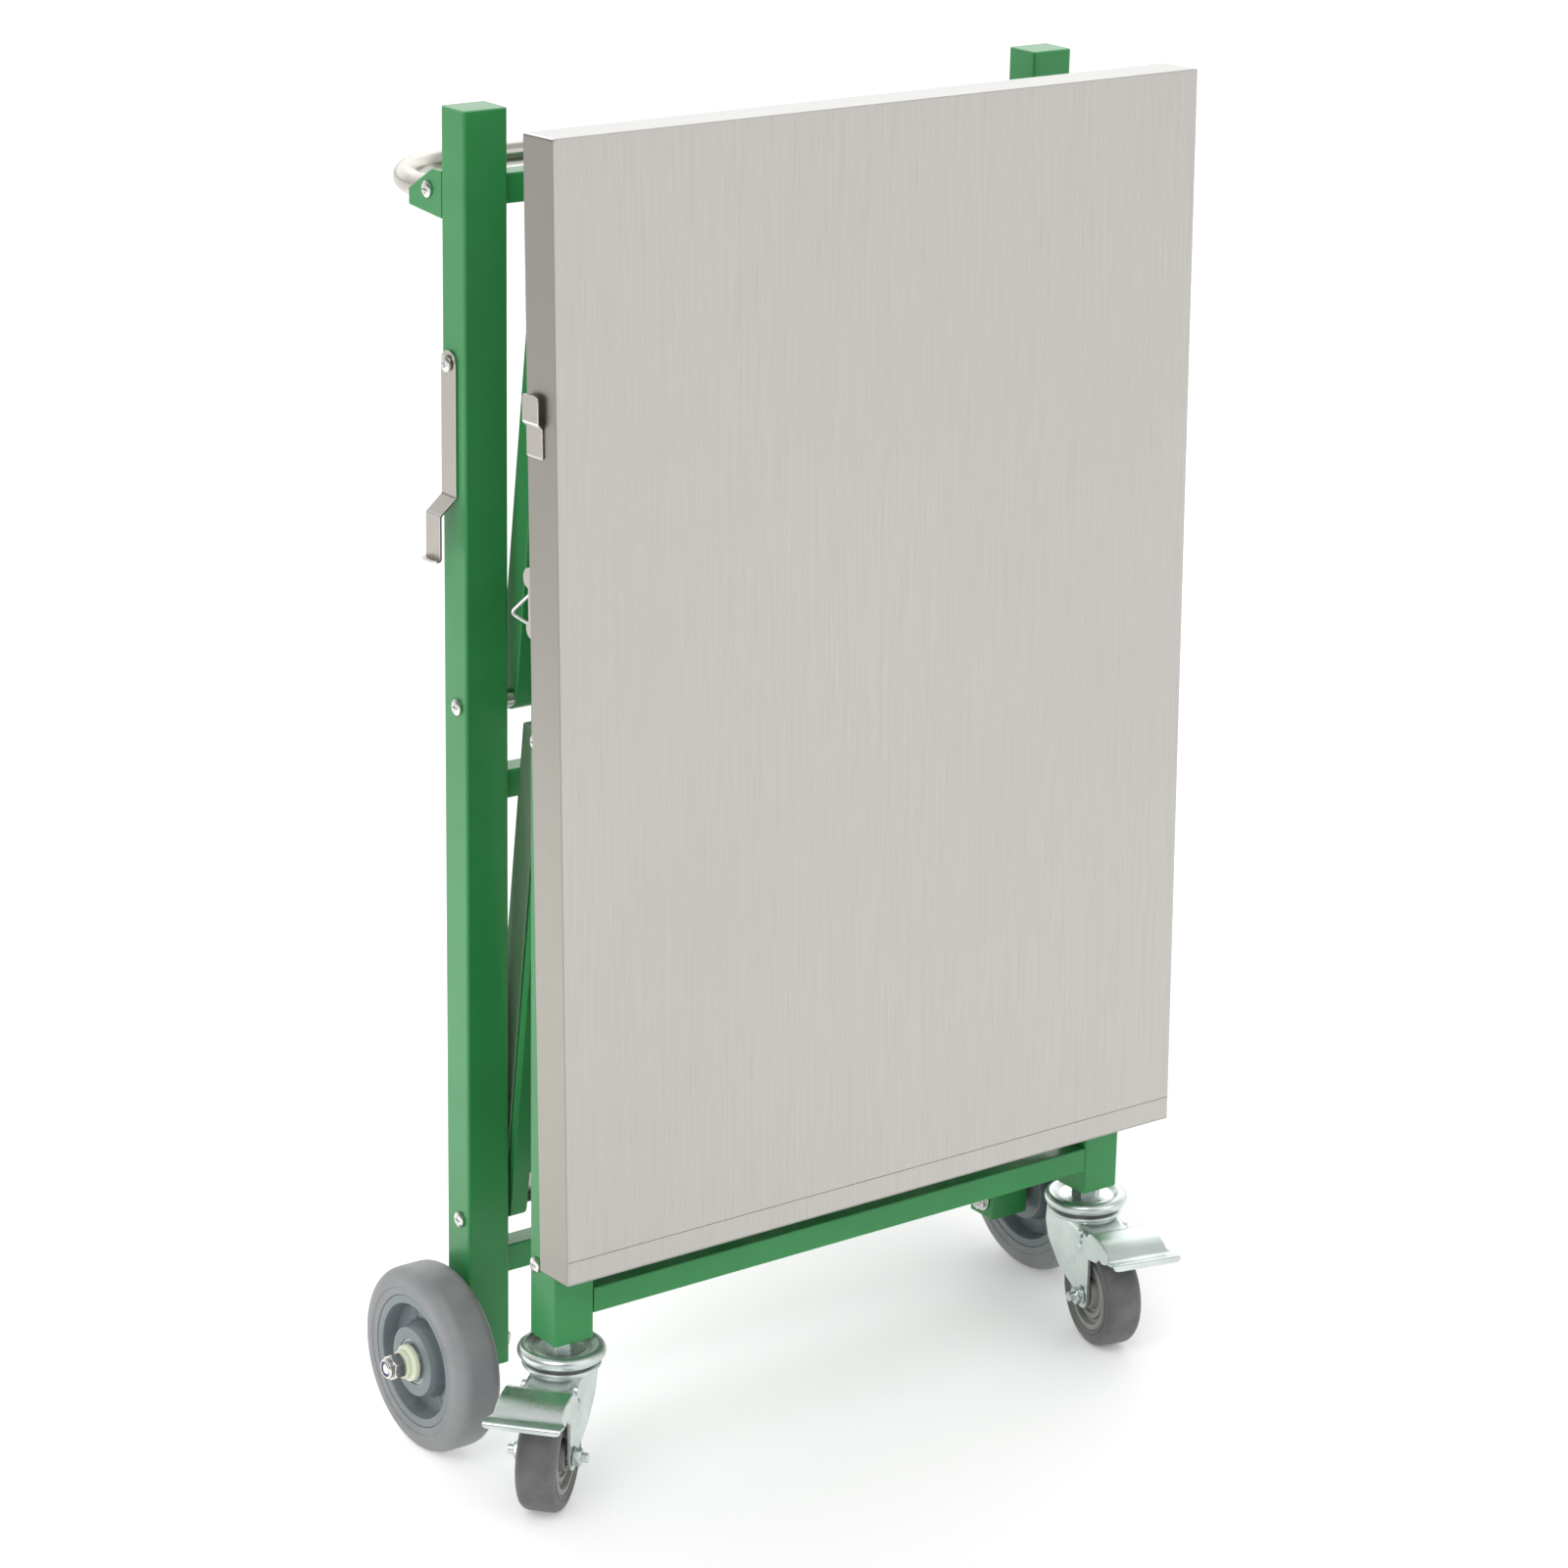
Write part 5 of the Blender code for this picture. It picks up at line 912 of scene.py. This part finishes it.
def bearing(word, at):
    """Bearing in the hub: outer race, balls in their gap, h = low + rise cos(12 a), and inner race. The balls are
    dark steel, painted shade in the gap.
    """
    races = ([(0.0182, 0.017), (0.0182, 0.0186), (0.0173, 0.0186), (0.0173, 0.0166)],
             [(0.012, 0.0166), (0.012, 0.0188), (0.0068, 0.0188), (0.0068, 0.0166)])
    piece("ball_bearing_" + word, BOLT_METAL, "rear_rim_" + word,
          *[at(turned(ring(eased_line(rows, 0.0003)), "x", 96), WHEEL_MIDDLE) for rows in races], instead=False)
    r = np.array([0.0172, 0.0168, 0.0161, 0.0147, 0.0133, 0.0126, 0.0121])
    lift = np.array([0, 0.25, 0.8, 1, 0.8, 0.25, 0])[:, None]
    cage = np.concatenate([np.stack([r, np.full(7, 0.0166)], axis=1), [(0.0121, 0.015), (0.0172, 0.015)]])
    balls = turned(ring(cage), "x", 144)
    angle = round_turn(144)
    balls[:7, :, 0] += lift * np.clip(np.cos(12 * angle), 0, 1) ** 0.6 * 0.0014
    balls[-1, :, 0] = balls[0, :, 0]
    piece("ball_cage_" + word, BEARING_DARK, "rear_rim_" + word, at(balls, WHEEL_MIDDLE), instead=False)


def axle_set(word, at):
    """Bush, lock nut with its violet ring, bolt end, washer, and dome nut inside the post."""
    nut, end, base = (0, WHEEL_OUT + 0.0104), (0, AXLE_END), (0, POST_INNER - 0.0004)
    bush = eased_line([(0.0064, 0.01), (0.0112, 0.01), (0.0117, 0.0068), (0.0148, 0.0044), (0.015, 0.0006),
                       (0.0064, 0.0004)], 0.0009, 5) + (0, WHEEL_OUT)
    piece("turned_nylon_bush_" + word, NYLON, "axle_bush_" + word, at(turned(ring(bush), "x", 72)))
    collar = eased_line(np.concatenate([
        np.add([(0, 0.009), (0.0074, 0.009), (0.0074, 0.01), (0.0082, 0.0104)], nut),
        np.add([(0.0082, -0.0012), (0.007, -0.0001), (0.0062, -0.0001), (0.0062, -0.0022), (0, -0.0022)], end)]),
        0.0006, 4)
    tip = eased_line([(0, -0.003), (0.0045, -0.003), (0.0045, -0.001), (0.0038, -0.0005), (0, -0.0005)],
                     0.0003) + end
    shaft = [(0, nut[1] + 0.001), (0.006, nut[1] + 0.001), (0.006, WHEEL_IN), (0.006, POST_INNER - 0.001),
             (0, POST_INNER - 0.001)]
    spacer = eased_line([(0.0109, POST_OUTER + 0.0004), (0.011, WHEEL_IN - 0.0004),
                         (0.0059, WHEEL_IN - 0.0004), (0.0059, POST_OUTER + 0.0004)], 0.0003)
    washer = np.add([(0, 0), (0.0104, 0), (0.0107, -0.0003), (0.0107, -0.0011), (0.0104, -0.0014), (0, -0.0014)],
                    base)
    dome = np.concatenate([[(0, -0.003), (0.0063, -0.003)], arc((0, -0.004), 0.0063, 0, -90, 10)]) + base
    shells = [hexagonal(0.019, nut[1], nut[1] + 0.01, sides=120, chamfer=0.1),
              hexagonal(0.0165, base[1] - 0.0055, base[1] - 0.0012, sides=96, chamfer=0.08)]
    for profile, sides in ((collar, 72), (tip, 48), (shaft, 32), (ring(spacer), 48), (washer, 48), (dome, 56)):
        shells.append(turned(profile, "x", sides))
    piece("lock_nut_and_axle_" + word, BOLT_METAL, "axle_" + word, *map(at, shells))
    violet = eased_line([(0.0062, -0.0024), (0.0062, -0.0009), (0.0046, -0.0009), (0.0046, -0.0024)], 0.0003) + end
    piece("violet_lock_ring_" + word, VIOLET, "axle_" + word, at(turned(ring(violet), "x", 56)), instead=False)


# ---- table top, latch and hook

def on_table(grid):
    """Place points that are given from the table's axis, and lean them with the table."""
    return settled(grid, (0, TOP_AXIS_Y, TOP_AXIS_Z), about_x=-TOP_LEAN)


def table_pieces():
    """The table top, a folded sheet: an eased rectangle carried over its lips, rim and face.

    The lip at the foot is only 24 mm deep between the side lips, and the outline has extra points there.
    """
    face, rear = -TOP_AXIS_DEPTH, TOP_THICK - TOP_AXIS_DEPTH
    foot, head = -TOP_BELOW_AXIS, TOP_LONG - TOP_BELOW_AXIS - 0.00003
    notch = TOP_HALF - TOP_WALL - 0.0013
    corners = [(foot, -TOP_HALF), (foot, -notch), (foot, -notch + 0.0001), (foot, notch - 0.0001),
               (foot, notch), (foot, TOP_HALF), (head, TOP_HALF), (head, -TOP_HALF)]
    outline = wound(eased(corners, np.where(np.isin(range(8), (1, 2, 3, 4)), 0, TOP_CORNER), 5))
    loops, depths = cup(outline, TOP_WALL, face, rear, TOP_ROUND, 6)
    short = (outline[:, 0] < foot + 1e-5) & (np.abs(outline[:, 1]) < notch - 0.00005)
    lip_rows = np.isin(range(len(depths)), (1, 2, 3, 4))[:, None]
    depths = depths - np.where(short & lip_rows, TOP_THICK - FOOT_LIP, 0)
    grid = on_table(facing(loops[..., 0], loops[..., 1], depths, "y"))
    # The lips' darker sheet is painted shade.
    mesh = piece("brushed_table_top", SHADED_LIP_SHEET, "top_tray", grid).data
    mesh.materials.append(TOP_SHEET)
    mesh.materials.append(END_SHEET)
    normals = read_all(mesh.polygons, "normal", np.float32, 3)
    front = (normals @ np.array([0, -math.cos(TOP_LEAN), math.sin(TOP_LEAN)])) > 0.7
    ends = ~front & (np.abs(normals[:, 2]) > 0.7)
    mesh.polygons.foreach_set("material_index", (front + 2 * ends).astype(np.int32))
    for word, _ in SIDES:
        kept_form("slide_rail_" + word, SHELF_SHEET, 0.0003)
        kept_form("slide_carriage_" + word, BOLT_METAL, 0.0003)


def clip_piece():
    """The keeper clip: a short strap that steps away from the left lip."""
    step_z, half_wide, inner, outer = 0.8675 - TOP_AXIS_Z, 0.01025, -0.30105, -0.30455
    path = [(inner, step_z - 0.0259), (inner, step_z - 0.004), (outer, step_z), (outer, step_z + 0.021)]
    line, at = resampled(eased_line(path, 0.0016, 6), 90)
    half = half_wide - end_rounding(at[-1] - at, 0.0045) - end_rounding(at, 0.001)
    grid = strap(line, half, 0.0015) + (0, 0.0184 - half_wide, 0)
    piece("keeper_clip_skin", STRAP_METAL, "keeper_clip", on_table(grid))


def latch_pieces():
    """The draw latch inside the left lip: waisted plate with its stud, lever, and wire bail on a peg.

    The bail is a round section carried along an eased triangle that hangs rearwards from the peg.
    """
    stud, lip = (0.0225, 0.0945), -0.2985
    outline = np.concatenate([[(0.007, 0.049)], arc((0.0205, 0.0565), 0.0075, -90, 60, 12),
                              eased_line([(0.02, 0.0668), (0.0192, 0.076), (0.02, 0.085)], 0.01, 6),
                              arc(stud, 0.0085, -45, 90, 12), [(0.007, 0.103)]])
    pin = turned([(0, lip + 0.0008), (0.002, lip + 0.0008), (0.002, lip + 0.0048), (0.0032, lip + 0.0049),
                  (0.0031, lip + 0.0053), (0.0018, lip + 0.0057), (0, lip + 0.0058)], "x", 32) + (0, *stud)
    piece("stamped_latch_plate", STRAP_METAL, "latch_plate",
          on_table(slab(outline, lip, lip + 0.0015, 0.0004)), on_table(pin))

    half, long, low = 0.0055, 0.036, lip + 0.0018
    outline = np.concatenate([arc(stud, half, 0, 180, 14),
                              arc((stud[0], stud[1] - long + half), half, 180, 360, 14)])
    peg_z = stud[1] - 0.009
    peg = turned([(0, low + 0.002), (0.0013, low + 0.002), (0.0013, low + 0.0072), (0.0008, low + 0.0077),
                  (0, low + 0.0078)], "x", 24) + (0, stud[0], peg_z)
    piece("stamped_latch_lever", STRAP_METAL, "latch_lever",
          on_table(slab(outline, low, low + 0.003, 0.0011, steps=5)), on_table(peg))

    loop = eased([(-0.0055, 0.0062), (0.0375, -0.0255), (0.0125, -0.029)], [0.0024, 0.003, 0.003], 10)
    count = 140
    loop = resampled(ring(loop), count + 1)[0][:-1]
    path = np.column_stack([np.full(count, -0.29115), loop + (stud[0], peg_z)])
    piece("bent_wire_bail", BOLT_METAL, "latch_bail",
          on_table(carried(path, 0.00125, 16, up=(1, 0, 0), closed=True)))


def hook_piece():
    """The lock hook: a strap with a round top, w = sqrt(h^2 - (h - s)^2), a jog and a turned-out lip."""
    path = [(-0.0013, 0.0099), (-0.0013, -0.102), (-0.0155, -0.1142), (-0.0155, -0.1489), (-0.0214, -0.1489)]
    line, at = resampled(eased_line(path, [0, 0.003, 0.003, 0.0022, 0], 8), 240)
    half_wide = 0.01
    half = half_wide - end_rounding(at, half_wide) - end_rounding(at[-1] - at, 0.003)
    piece("lock_hook_skin", STRAP_METAL, "lock_hook", settled(strap(line, half.clip(0.0004), 0.002), HOOK_PIVOT))


# ---- casters

def caster_pieces(word, side):
    """One caster, in its own lines: X along its aim, Z down from the foot of the front post."""
    spot = (side * SWIVEL_X, SWIVEL_Y, FRONT_FOOT)

    def at(grid):
        return settled(grid, spot, about_z=CASTER_AIM[word])

    roll = arc((0.035 - 0.00525, -0.0065 - 0.00525), 0.00525, 120, -85, 18)
    race = np.concatenate([[(0, 0.022), (0.0056, 0.022), (0.006, 0.0215), (0.006, -0.0004), (0.0118, -0.0004),
                            (0.0118, -0.01), (0.019, -0.0104), (0.0235, -0.0098)], roll, [(0, -0.0169)]])
    race = eased_line(race, [0, 0, 0, 0, .0004, .0006, .003, .002] + [0] * len(roll) + [0], 5)
    grid = turned(race, "z", 96)
    angle = round_turn(96)[None, :]
    radius = race[:, 0, None]
    nut = (radius > 0.01) & (radius < 0.0122) & (race[:, 1, None] < 0.0003)
    share = np.minimum(hexagon(0.0104, angle), 0.0119) / np.maximum(radius, 1e-6)
    grid[..., :2] *= np.where(nut, share, 1)[..., None]
    piece("zinc_ball_race_" + word, ZINC, "caster_race_" + word, settled(grid, spot))
    fork_piece(word, at)
    pedal_piece(word, at)
    caster_wheel(word, lambda grid: at(grid + (CASTER_TRAIL, 0, -CASTER_DROP)))


def caster_wheel(word, at):
    """Rim, tyre, and axle with a washer and a nut on each side, about the wheel's own middle."""
    depths = [(0.031, 0.0012), (0.0268, 0.0008), (0.0255, 0.005), (0.0218, 0.0056), (0.021, 0.0036),
              (0.0178, 0.0034), (0.0168, 0.0058), (0.013, 0.006), (0.012, 0.0004), (0.008, 0.0004),
              (0.0076, 0.0014), (0.0044, 0.0014)]
    face = eased_line([(r, CASTER_HALF - deep) for r, deep in depths],
                      [0, .0012, .0014, .0008, .0008, .0008, .001, .0012, .0006, .0003, .0003, 0], 4)
    piece("moulded_caster_rim_" + word, CASTER_RIM, "caster_rim_" + word,
          at(turned(both_faces(face), "y", 112)), crease=50)
    wall = [(0.0313, 0.0012), (0.0316, 0.0006), (0.0345, 0.0002), (0.035, 0.001), (0.0362, 0.0008), (0.0372, 0)]
    tyre = tyre_rows([(r, CASTER_HALF - deep) for r, deep in wall], (0.0372, 0.0082), (0.0078, 0.0078), 0.85, 12)
    piece("rubber_caster_tyre_" + word, CASTER_TYRE, "caster_tyre_" + word, at(turned(tyre, "y", 120)), crease=50)

    outer = 0.0211
    shells = [turned([(0, -0.0322), (0.0034, -0.0325), (0.004, -0.0319), (0.004, 0.0319), (0.0034, 0.0325),
                      (0, 0.0325)], "y", 40)]
    for way in (-1, 1):
        shells.append(hexagonal(0.013, outer + 0.0008, outer + 0.006, "y", 96) * (1, way, 1))
        shells.append(turned([(0, outer), (0.0078, outer), (0.0082, outer + 0.0003), (0.0082, outer + 0.0008),
                              (0.0078, outer + 0.0011), (0, outer + 0.0011)], "y", 48) * (1, way, 1))
    piece("zinc_caster_axle_" + word, ZINC, "caster_axle_" + word, *map(at, shells))


def fork_piece(word, at):
    """The fork: one pressed sheet, from the foot of one leg over the crown to the other.

    Section: the line (b, z) from (-w, foot) up to the crown, round a bend, across, and down again.
    At each height z the sheet runs from its back edge to its front edge: x = back + v (front - back).
    """
    w, crown, foot, bend = 0.0195, -0.0236, -0.0947, 0.0062
    drop = np.concatenate([np.linspace(0, 1, 15) ** 1.7 * 0.012 + foot,
                           np.linspace(foot + 0.016, crown - 0.008, 18)])
    half = np.concatenate([np.column_stack([np.full(len(drop), w), drop]),
                           arc((w - bend, crown - bend), bend, 0, 90, 8),
                           np.column_stack([np.linspace(w - 0.0075, 0, 8), np.full(8, crown)])])
    b, z = np.concatenate([half, (half * (-1, 1))[-2::-1]]).T[:, :, None]
    toe = [foot, -0.0944, -0.0936, -0.0915, -0.088, -0.0838]
    back = np.interp(z, toe + [-0.074, -0.0573, -0.043, -0.03, crown],
                     [0.038, 0.0352, 0.0325, 0.0296, 0.0276, 0.0262, -0.004, -0.0255, -0.0318, -0.03, -0.0285])
    front = np.interp(z, toe + [-0.0485, -0.0425, crown],
                      [0.038, 0.0408, 0.0435, 0.0464, 0.0484, 0.049, 0.049, 0.0503, 0.0503])
    back = back - 0.0026 * np.clip(1 - (np.abs(b) / w) ** 2, 0, 1)
    x = back + np.linspace(0, 1, 34)[None, :] * (front - back)
    slope = np.clip((x - 0.022) / 0.028, 0, 1) ** 1.5 * np.clip((z - crown + 0.014) / 0.014, 0, 1)
    middle = np.stack(np.broadcast_arrays(x, b, z - 0.004 * slope), axis=-1)
    lower = eased_line([(0, -0.0197), (0.029, -0.0197), (0.0313, -0.0207), (0.0313, -0.0226),
                        (0.0295, -0.0246), (0, -0.0246)], 0.0012, 6)
    seal = eased_line([(0, -0.0172), (0.0288, -0.0172), (0.0296, -0.0178), (0.0296, -0.0199), (0, -0.0199)],
                      0.0004, 4)
    # The dark ring under the race is painted shade in the gap there.
    piece("shade_painted_swivel_ring_" + word, BEARING_DARK, "caster_fork_" + word, at(turned(seal, "z", 72)), instead=False)
    shells = [sheet_shell(middle, 0.0024), turned(lower, "z", 96)]
    for way in (-1, 1):
        for x_pin, z_pin, r, tall in ((0.0445, -0.0365, 0.0031, 0.0076), (0.0325, -0.03, 0.004, 0.0024)):
            end = 0.0205 + tall
            pin = turned([(0, 0.0195), (r, 0.0195), (r, end - 0.0005), (r * 0.8, end), (0, end)], "y", 32)
            shells.append(pin * (1, way, 1) + (x_pin, 0, z_pin))
    piece("pressed_fork_" + word, ZINC, "caster_fork_" + word, *map(at, shells), crease=40)


def sheet_shell(middle, thick):
    """Give an open sheet its wall: both faces stand thick / 2 away along the normal, dS/du x dS/dv.

    Rows run over one face and back under the other, so the rims are closed.
    """
    normal = np.cross(np.gradient(middle, axis=0), np.gradient(middle, axis=1))
    size = np.linalg.norm(normal, axis=2, keepdims=True)
    pinched = size < 1e-12
    normal = np.where(pinched, 0, normal / np.where(pinched, 1, size))
    normal[0], normal[-1] = normal[1], normal[-2]
    upper, lower = middle + normal * thick / 2, middle - normal * thick / 2
    ends = [(upper[row] + lower[row]) / 2 for row in (0, -1)]
    first, last = (np.concatenate([end, end[::-1]])[None] for end in ends)
    return np.concatenate([first, np.concatenate([upper, lower[:, ::-1]], axis=1), last])


def pedal_piece(word, at):
    """The brake pedal: a stamped plate that bends down to a flared lip with a folded rim, and two cheeks."""
    line = eased_line([(0.0585, -0.0196), (0.064, -0.0176), (0.082, -0.0179), (0.093, -0.0216), (0.101, -0.0274),
                       (0.1142, -0.0243), (0.1149, -0.0286)], [0, .012, .05, .03, .012, .0017, 0], 10)
    line, far = resampled(line, 96)
    rest = far[-1] - far
    half = 0.0268 + 0.0042 * smooth((0.023 - rest) / 0.008) - end_rounding(rest, 0.0035)
    shells = [strap(line, half, 0.002, 0.0007)]
    pivot, radius = (0.0445, -0.0365), 0.0058
    cheek = [(0.06, -0.0186), (0.0812, -0.0186), (0.093, -0.0224), (0.0975, -0.0262), (0.0915, -0.0332),
             (0.0845, -0.0352), (0.079, -0.033), (0.0745, -0.0385), (0.064, -0.0405)]
    cheek = np.concatenate([arc(pivot, radius, 240, 60, 14),
                            eased_line(cheek, [.004, .006, .006, .002, .004, .003, .003, .004, .006], 6)])
    for way in (-1, 1):
        low, high = sorted((way * 0.0251, way * 0.0269))
        shells.append(slab(cheek[:, ::-1], low, high, 0.0005, "y"))
        head = turned([(0, 0.0262), (0.0042, 0.0266), (0.0042, 0.0273), (0.003, 0.0279), (0, 0.028)], "y", 32)
        shells.append(head * (1, way, 1) + (pivot[0], 0, pivot[1]))
    piece("stamped_brake_pedal_" + word, ZINC, "brake_pedal_" + word, *map(at, shells))


# ---- floor, light and camera

def floor_material():
    """Plain pale floor with the faintest clouding. It glows, a painted light that is strongest near the cart's left
    rear.
    """
    material, place = new_material("pale_studio_floor", 0, Emission_Strength=1, Roughness=0.9,
                                                 Specular_IOR_Level=0.1)
    clouds = placed(place, (MOTTLING, {"Size": 1.5}))["Clouds"]
    away = node("VectorMath", {0: place, 1: (-1.05, 0.95, 0)}, operation="DISTANCE").outputs["Value"]
    # The floor's glow is painted light, a pool strongest near the cart's left rear.
    near = remapped(away, 0.35, 1.55, 1, 0)
    return linked_to_shader(material, Base_Color=layered((0.9,) * 3, (clouds, (0.92,) * 3)),
                            Emission_Color=layered((0.2,) * 3, (near, (1,) * 3)))


def studio():
    """A wide pale floor, a soft white surround with a dark and a bright part for the metal, and soft lights."""
    mesh = bpy.data.meshes.new("studio_floor")
    mesh.from_pydata([(-30, -30, 0), (30, -30, 0), (30, 30, 0), (-30, 30, 0)], [], [(0, 1, 2, 3)])
    mesh.materials.append(floor_material())
    added("studio_floor", mesh)

    world = bpy.data.worlds.new("soft_surround")
    bpy.context.scene.world = world
    world.use_nodes = True
    tree = world.node_tree
    tree.nodes.clear()
    ray = node("LightPath", {}, tree).outputs["Is Camera Ray"]
    x, y, z = node("SeparateXYZ", {0: node("TexCoord", {}, tree).outputs["Generated"]}).outputs

    def card(top, fade, east, north, start, full):
        """A share that is 1 above the skyline, up to a fading top, towards one side."""
        tall = times(remapped(z, 0.02, 0.14), remapped(z, top, fade, 1, 0))
        way = plus(times(x, east), times(y, north))
        return times(tall, remapped(way, start, full))

    surround = layered((0.73,) * 3, (card(0.36, 0.62, -0.75, -0.45, 0, 0.5), (0.16,) * 3),
                       (card(0.6, 0.85, 0.59, 0.8, 0.3, 0.8), (1.6,) * 3))
    lit = node("Background", {"Color": surround, "Strength": 1})
    seen = node("Background", {"Color": (1, 1, 1, 1), "Strength": 1}, tree)
    mix = node("MixShader", {0: ray, 1: lit.outputs[0], 2: seen.outputs[0]})
    tree.links.new(mix.outputs[0], tree.nodes.new("ShaderNodeOutputWorld").inputs[0])

    for name, place, strength, spread in (("high_left_light", (-3, -1.8, 3.4), 0.85, 38),
                                          ("low_front_light", (1, -3, 1.6), 0.4, 50),
                                          ("high_rear_light", (1.5, 2.5, 3), 0.25, 50)):
        lamp = bpy.data.lights.new(name, "SUN")
        lamp.angle = math.radians(spread)
        lamp.energy = strength
        item = added(name, lamp)
        item.location = place
        item.rotation_euler = Vector(place).to_track_quat("Z", "Y").to_euler()


def camera():
    """The photograph's view: from the left front, a little above, with a long lens."""
    data = bpy.data.cameras.new("photograph_view")
    data.lens = 102.77
    data.sensor_width = 36
    data.sensor_fit = "HORIZONTAL"
    data.clip_start, data.clip_end = 0.05, 200
    item = added("photograph_view", data)
    place = np.array([-2.0179, -2.7689, 1.6454]) + SHIFT
    item.matrix_world = Matrix.Translation(place) @ Euler(np.radians((71.525, 0, -36.441))).to_matrix().to_4x4()
    item.matrix_world @= Matrix.Rotation(math.radians(1.0905), 4, "Z")
    bpy.context.scene.camera = item


rear_frame_pieces()
handle_pieces()
bolt_pieces()
wheel_pieces()
link_pieces()
front_frame_pieces()
table_pieces()
clip_piece()
latch_pieces()
hook_piece()
for side_word, side_sign in SIDES:
    caster_pieces(side_word, side_sign)
studio()
camera()
bpy.context.scene.view_settings.view_transform = "Standard"
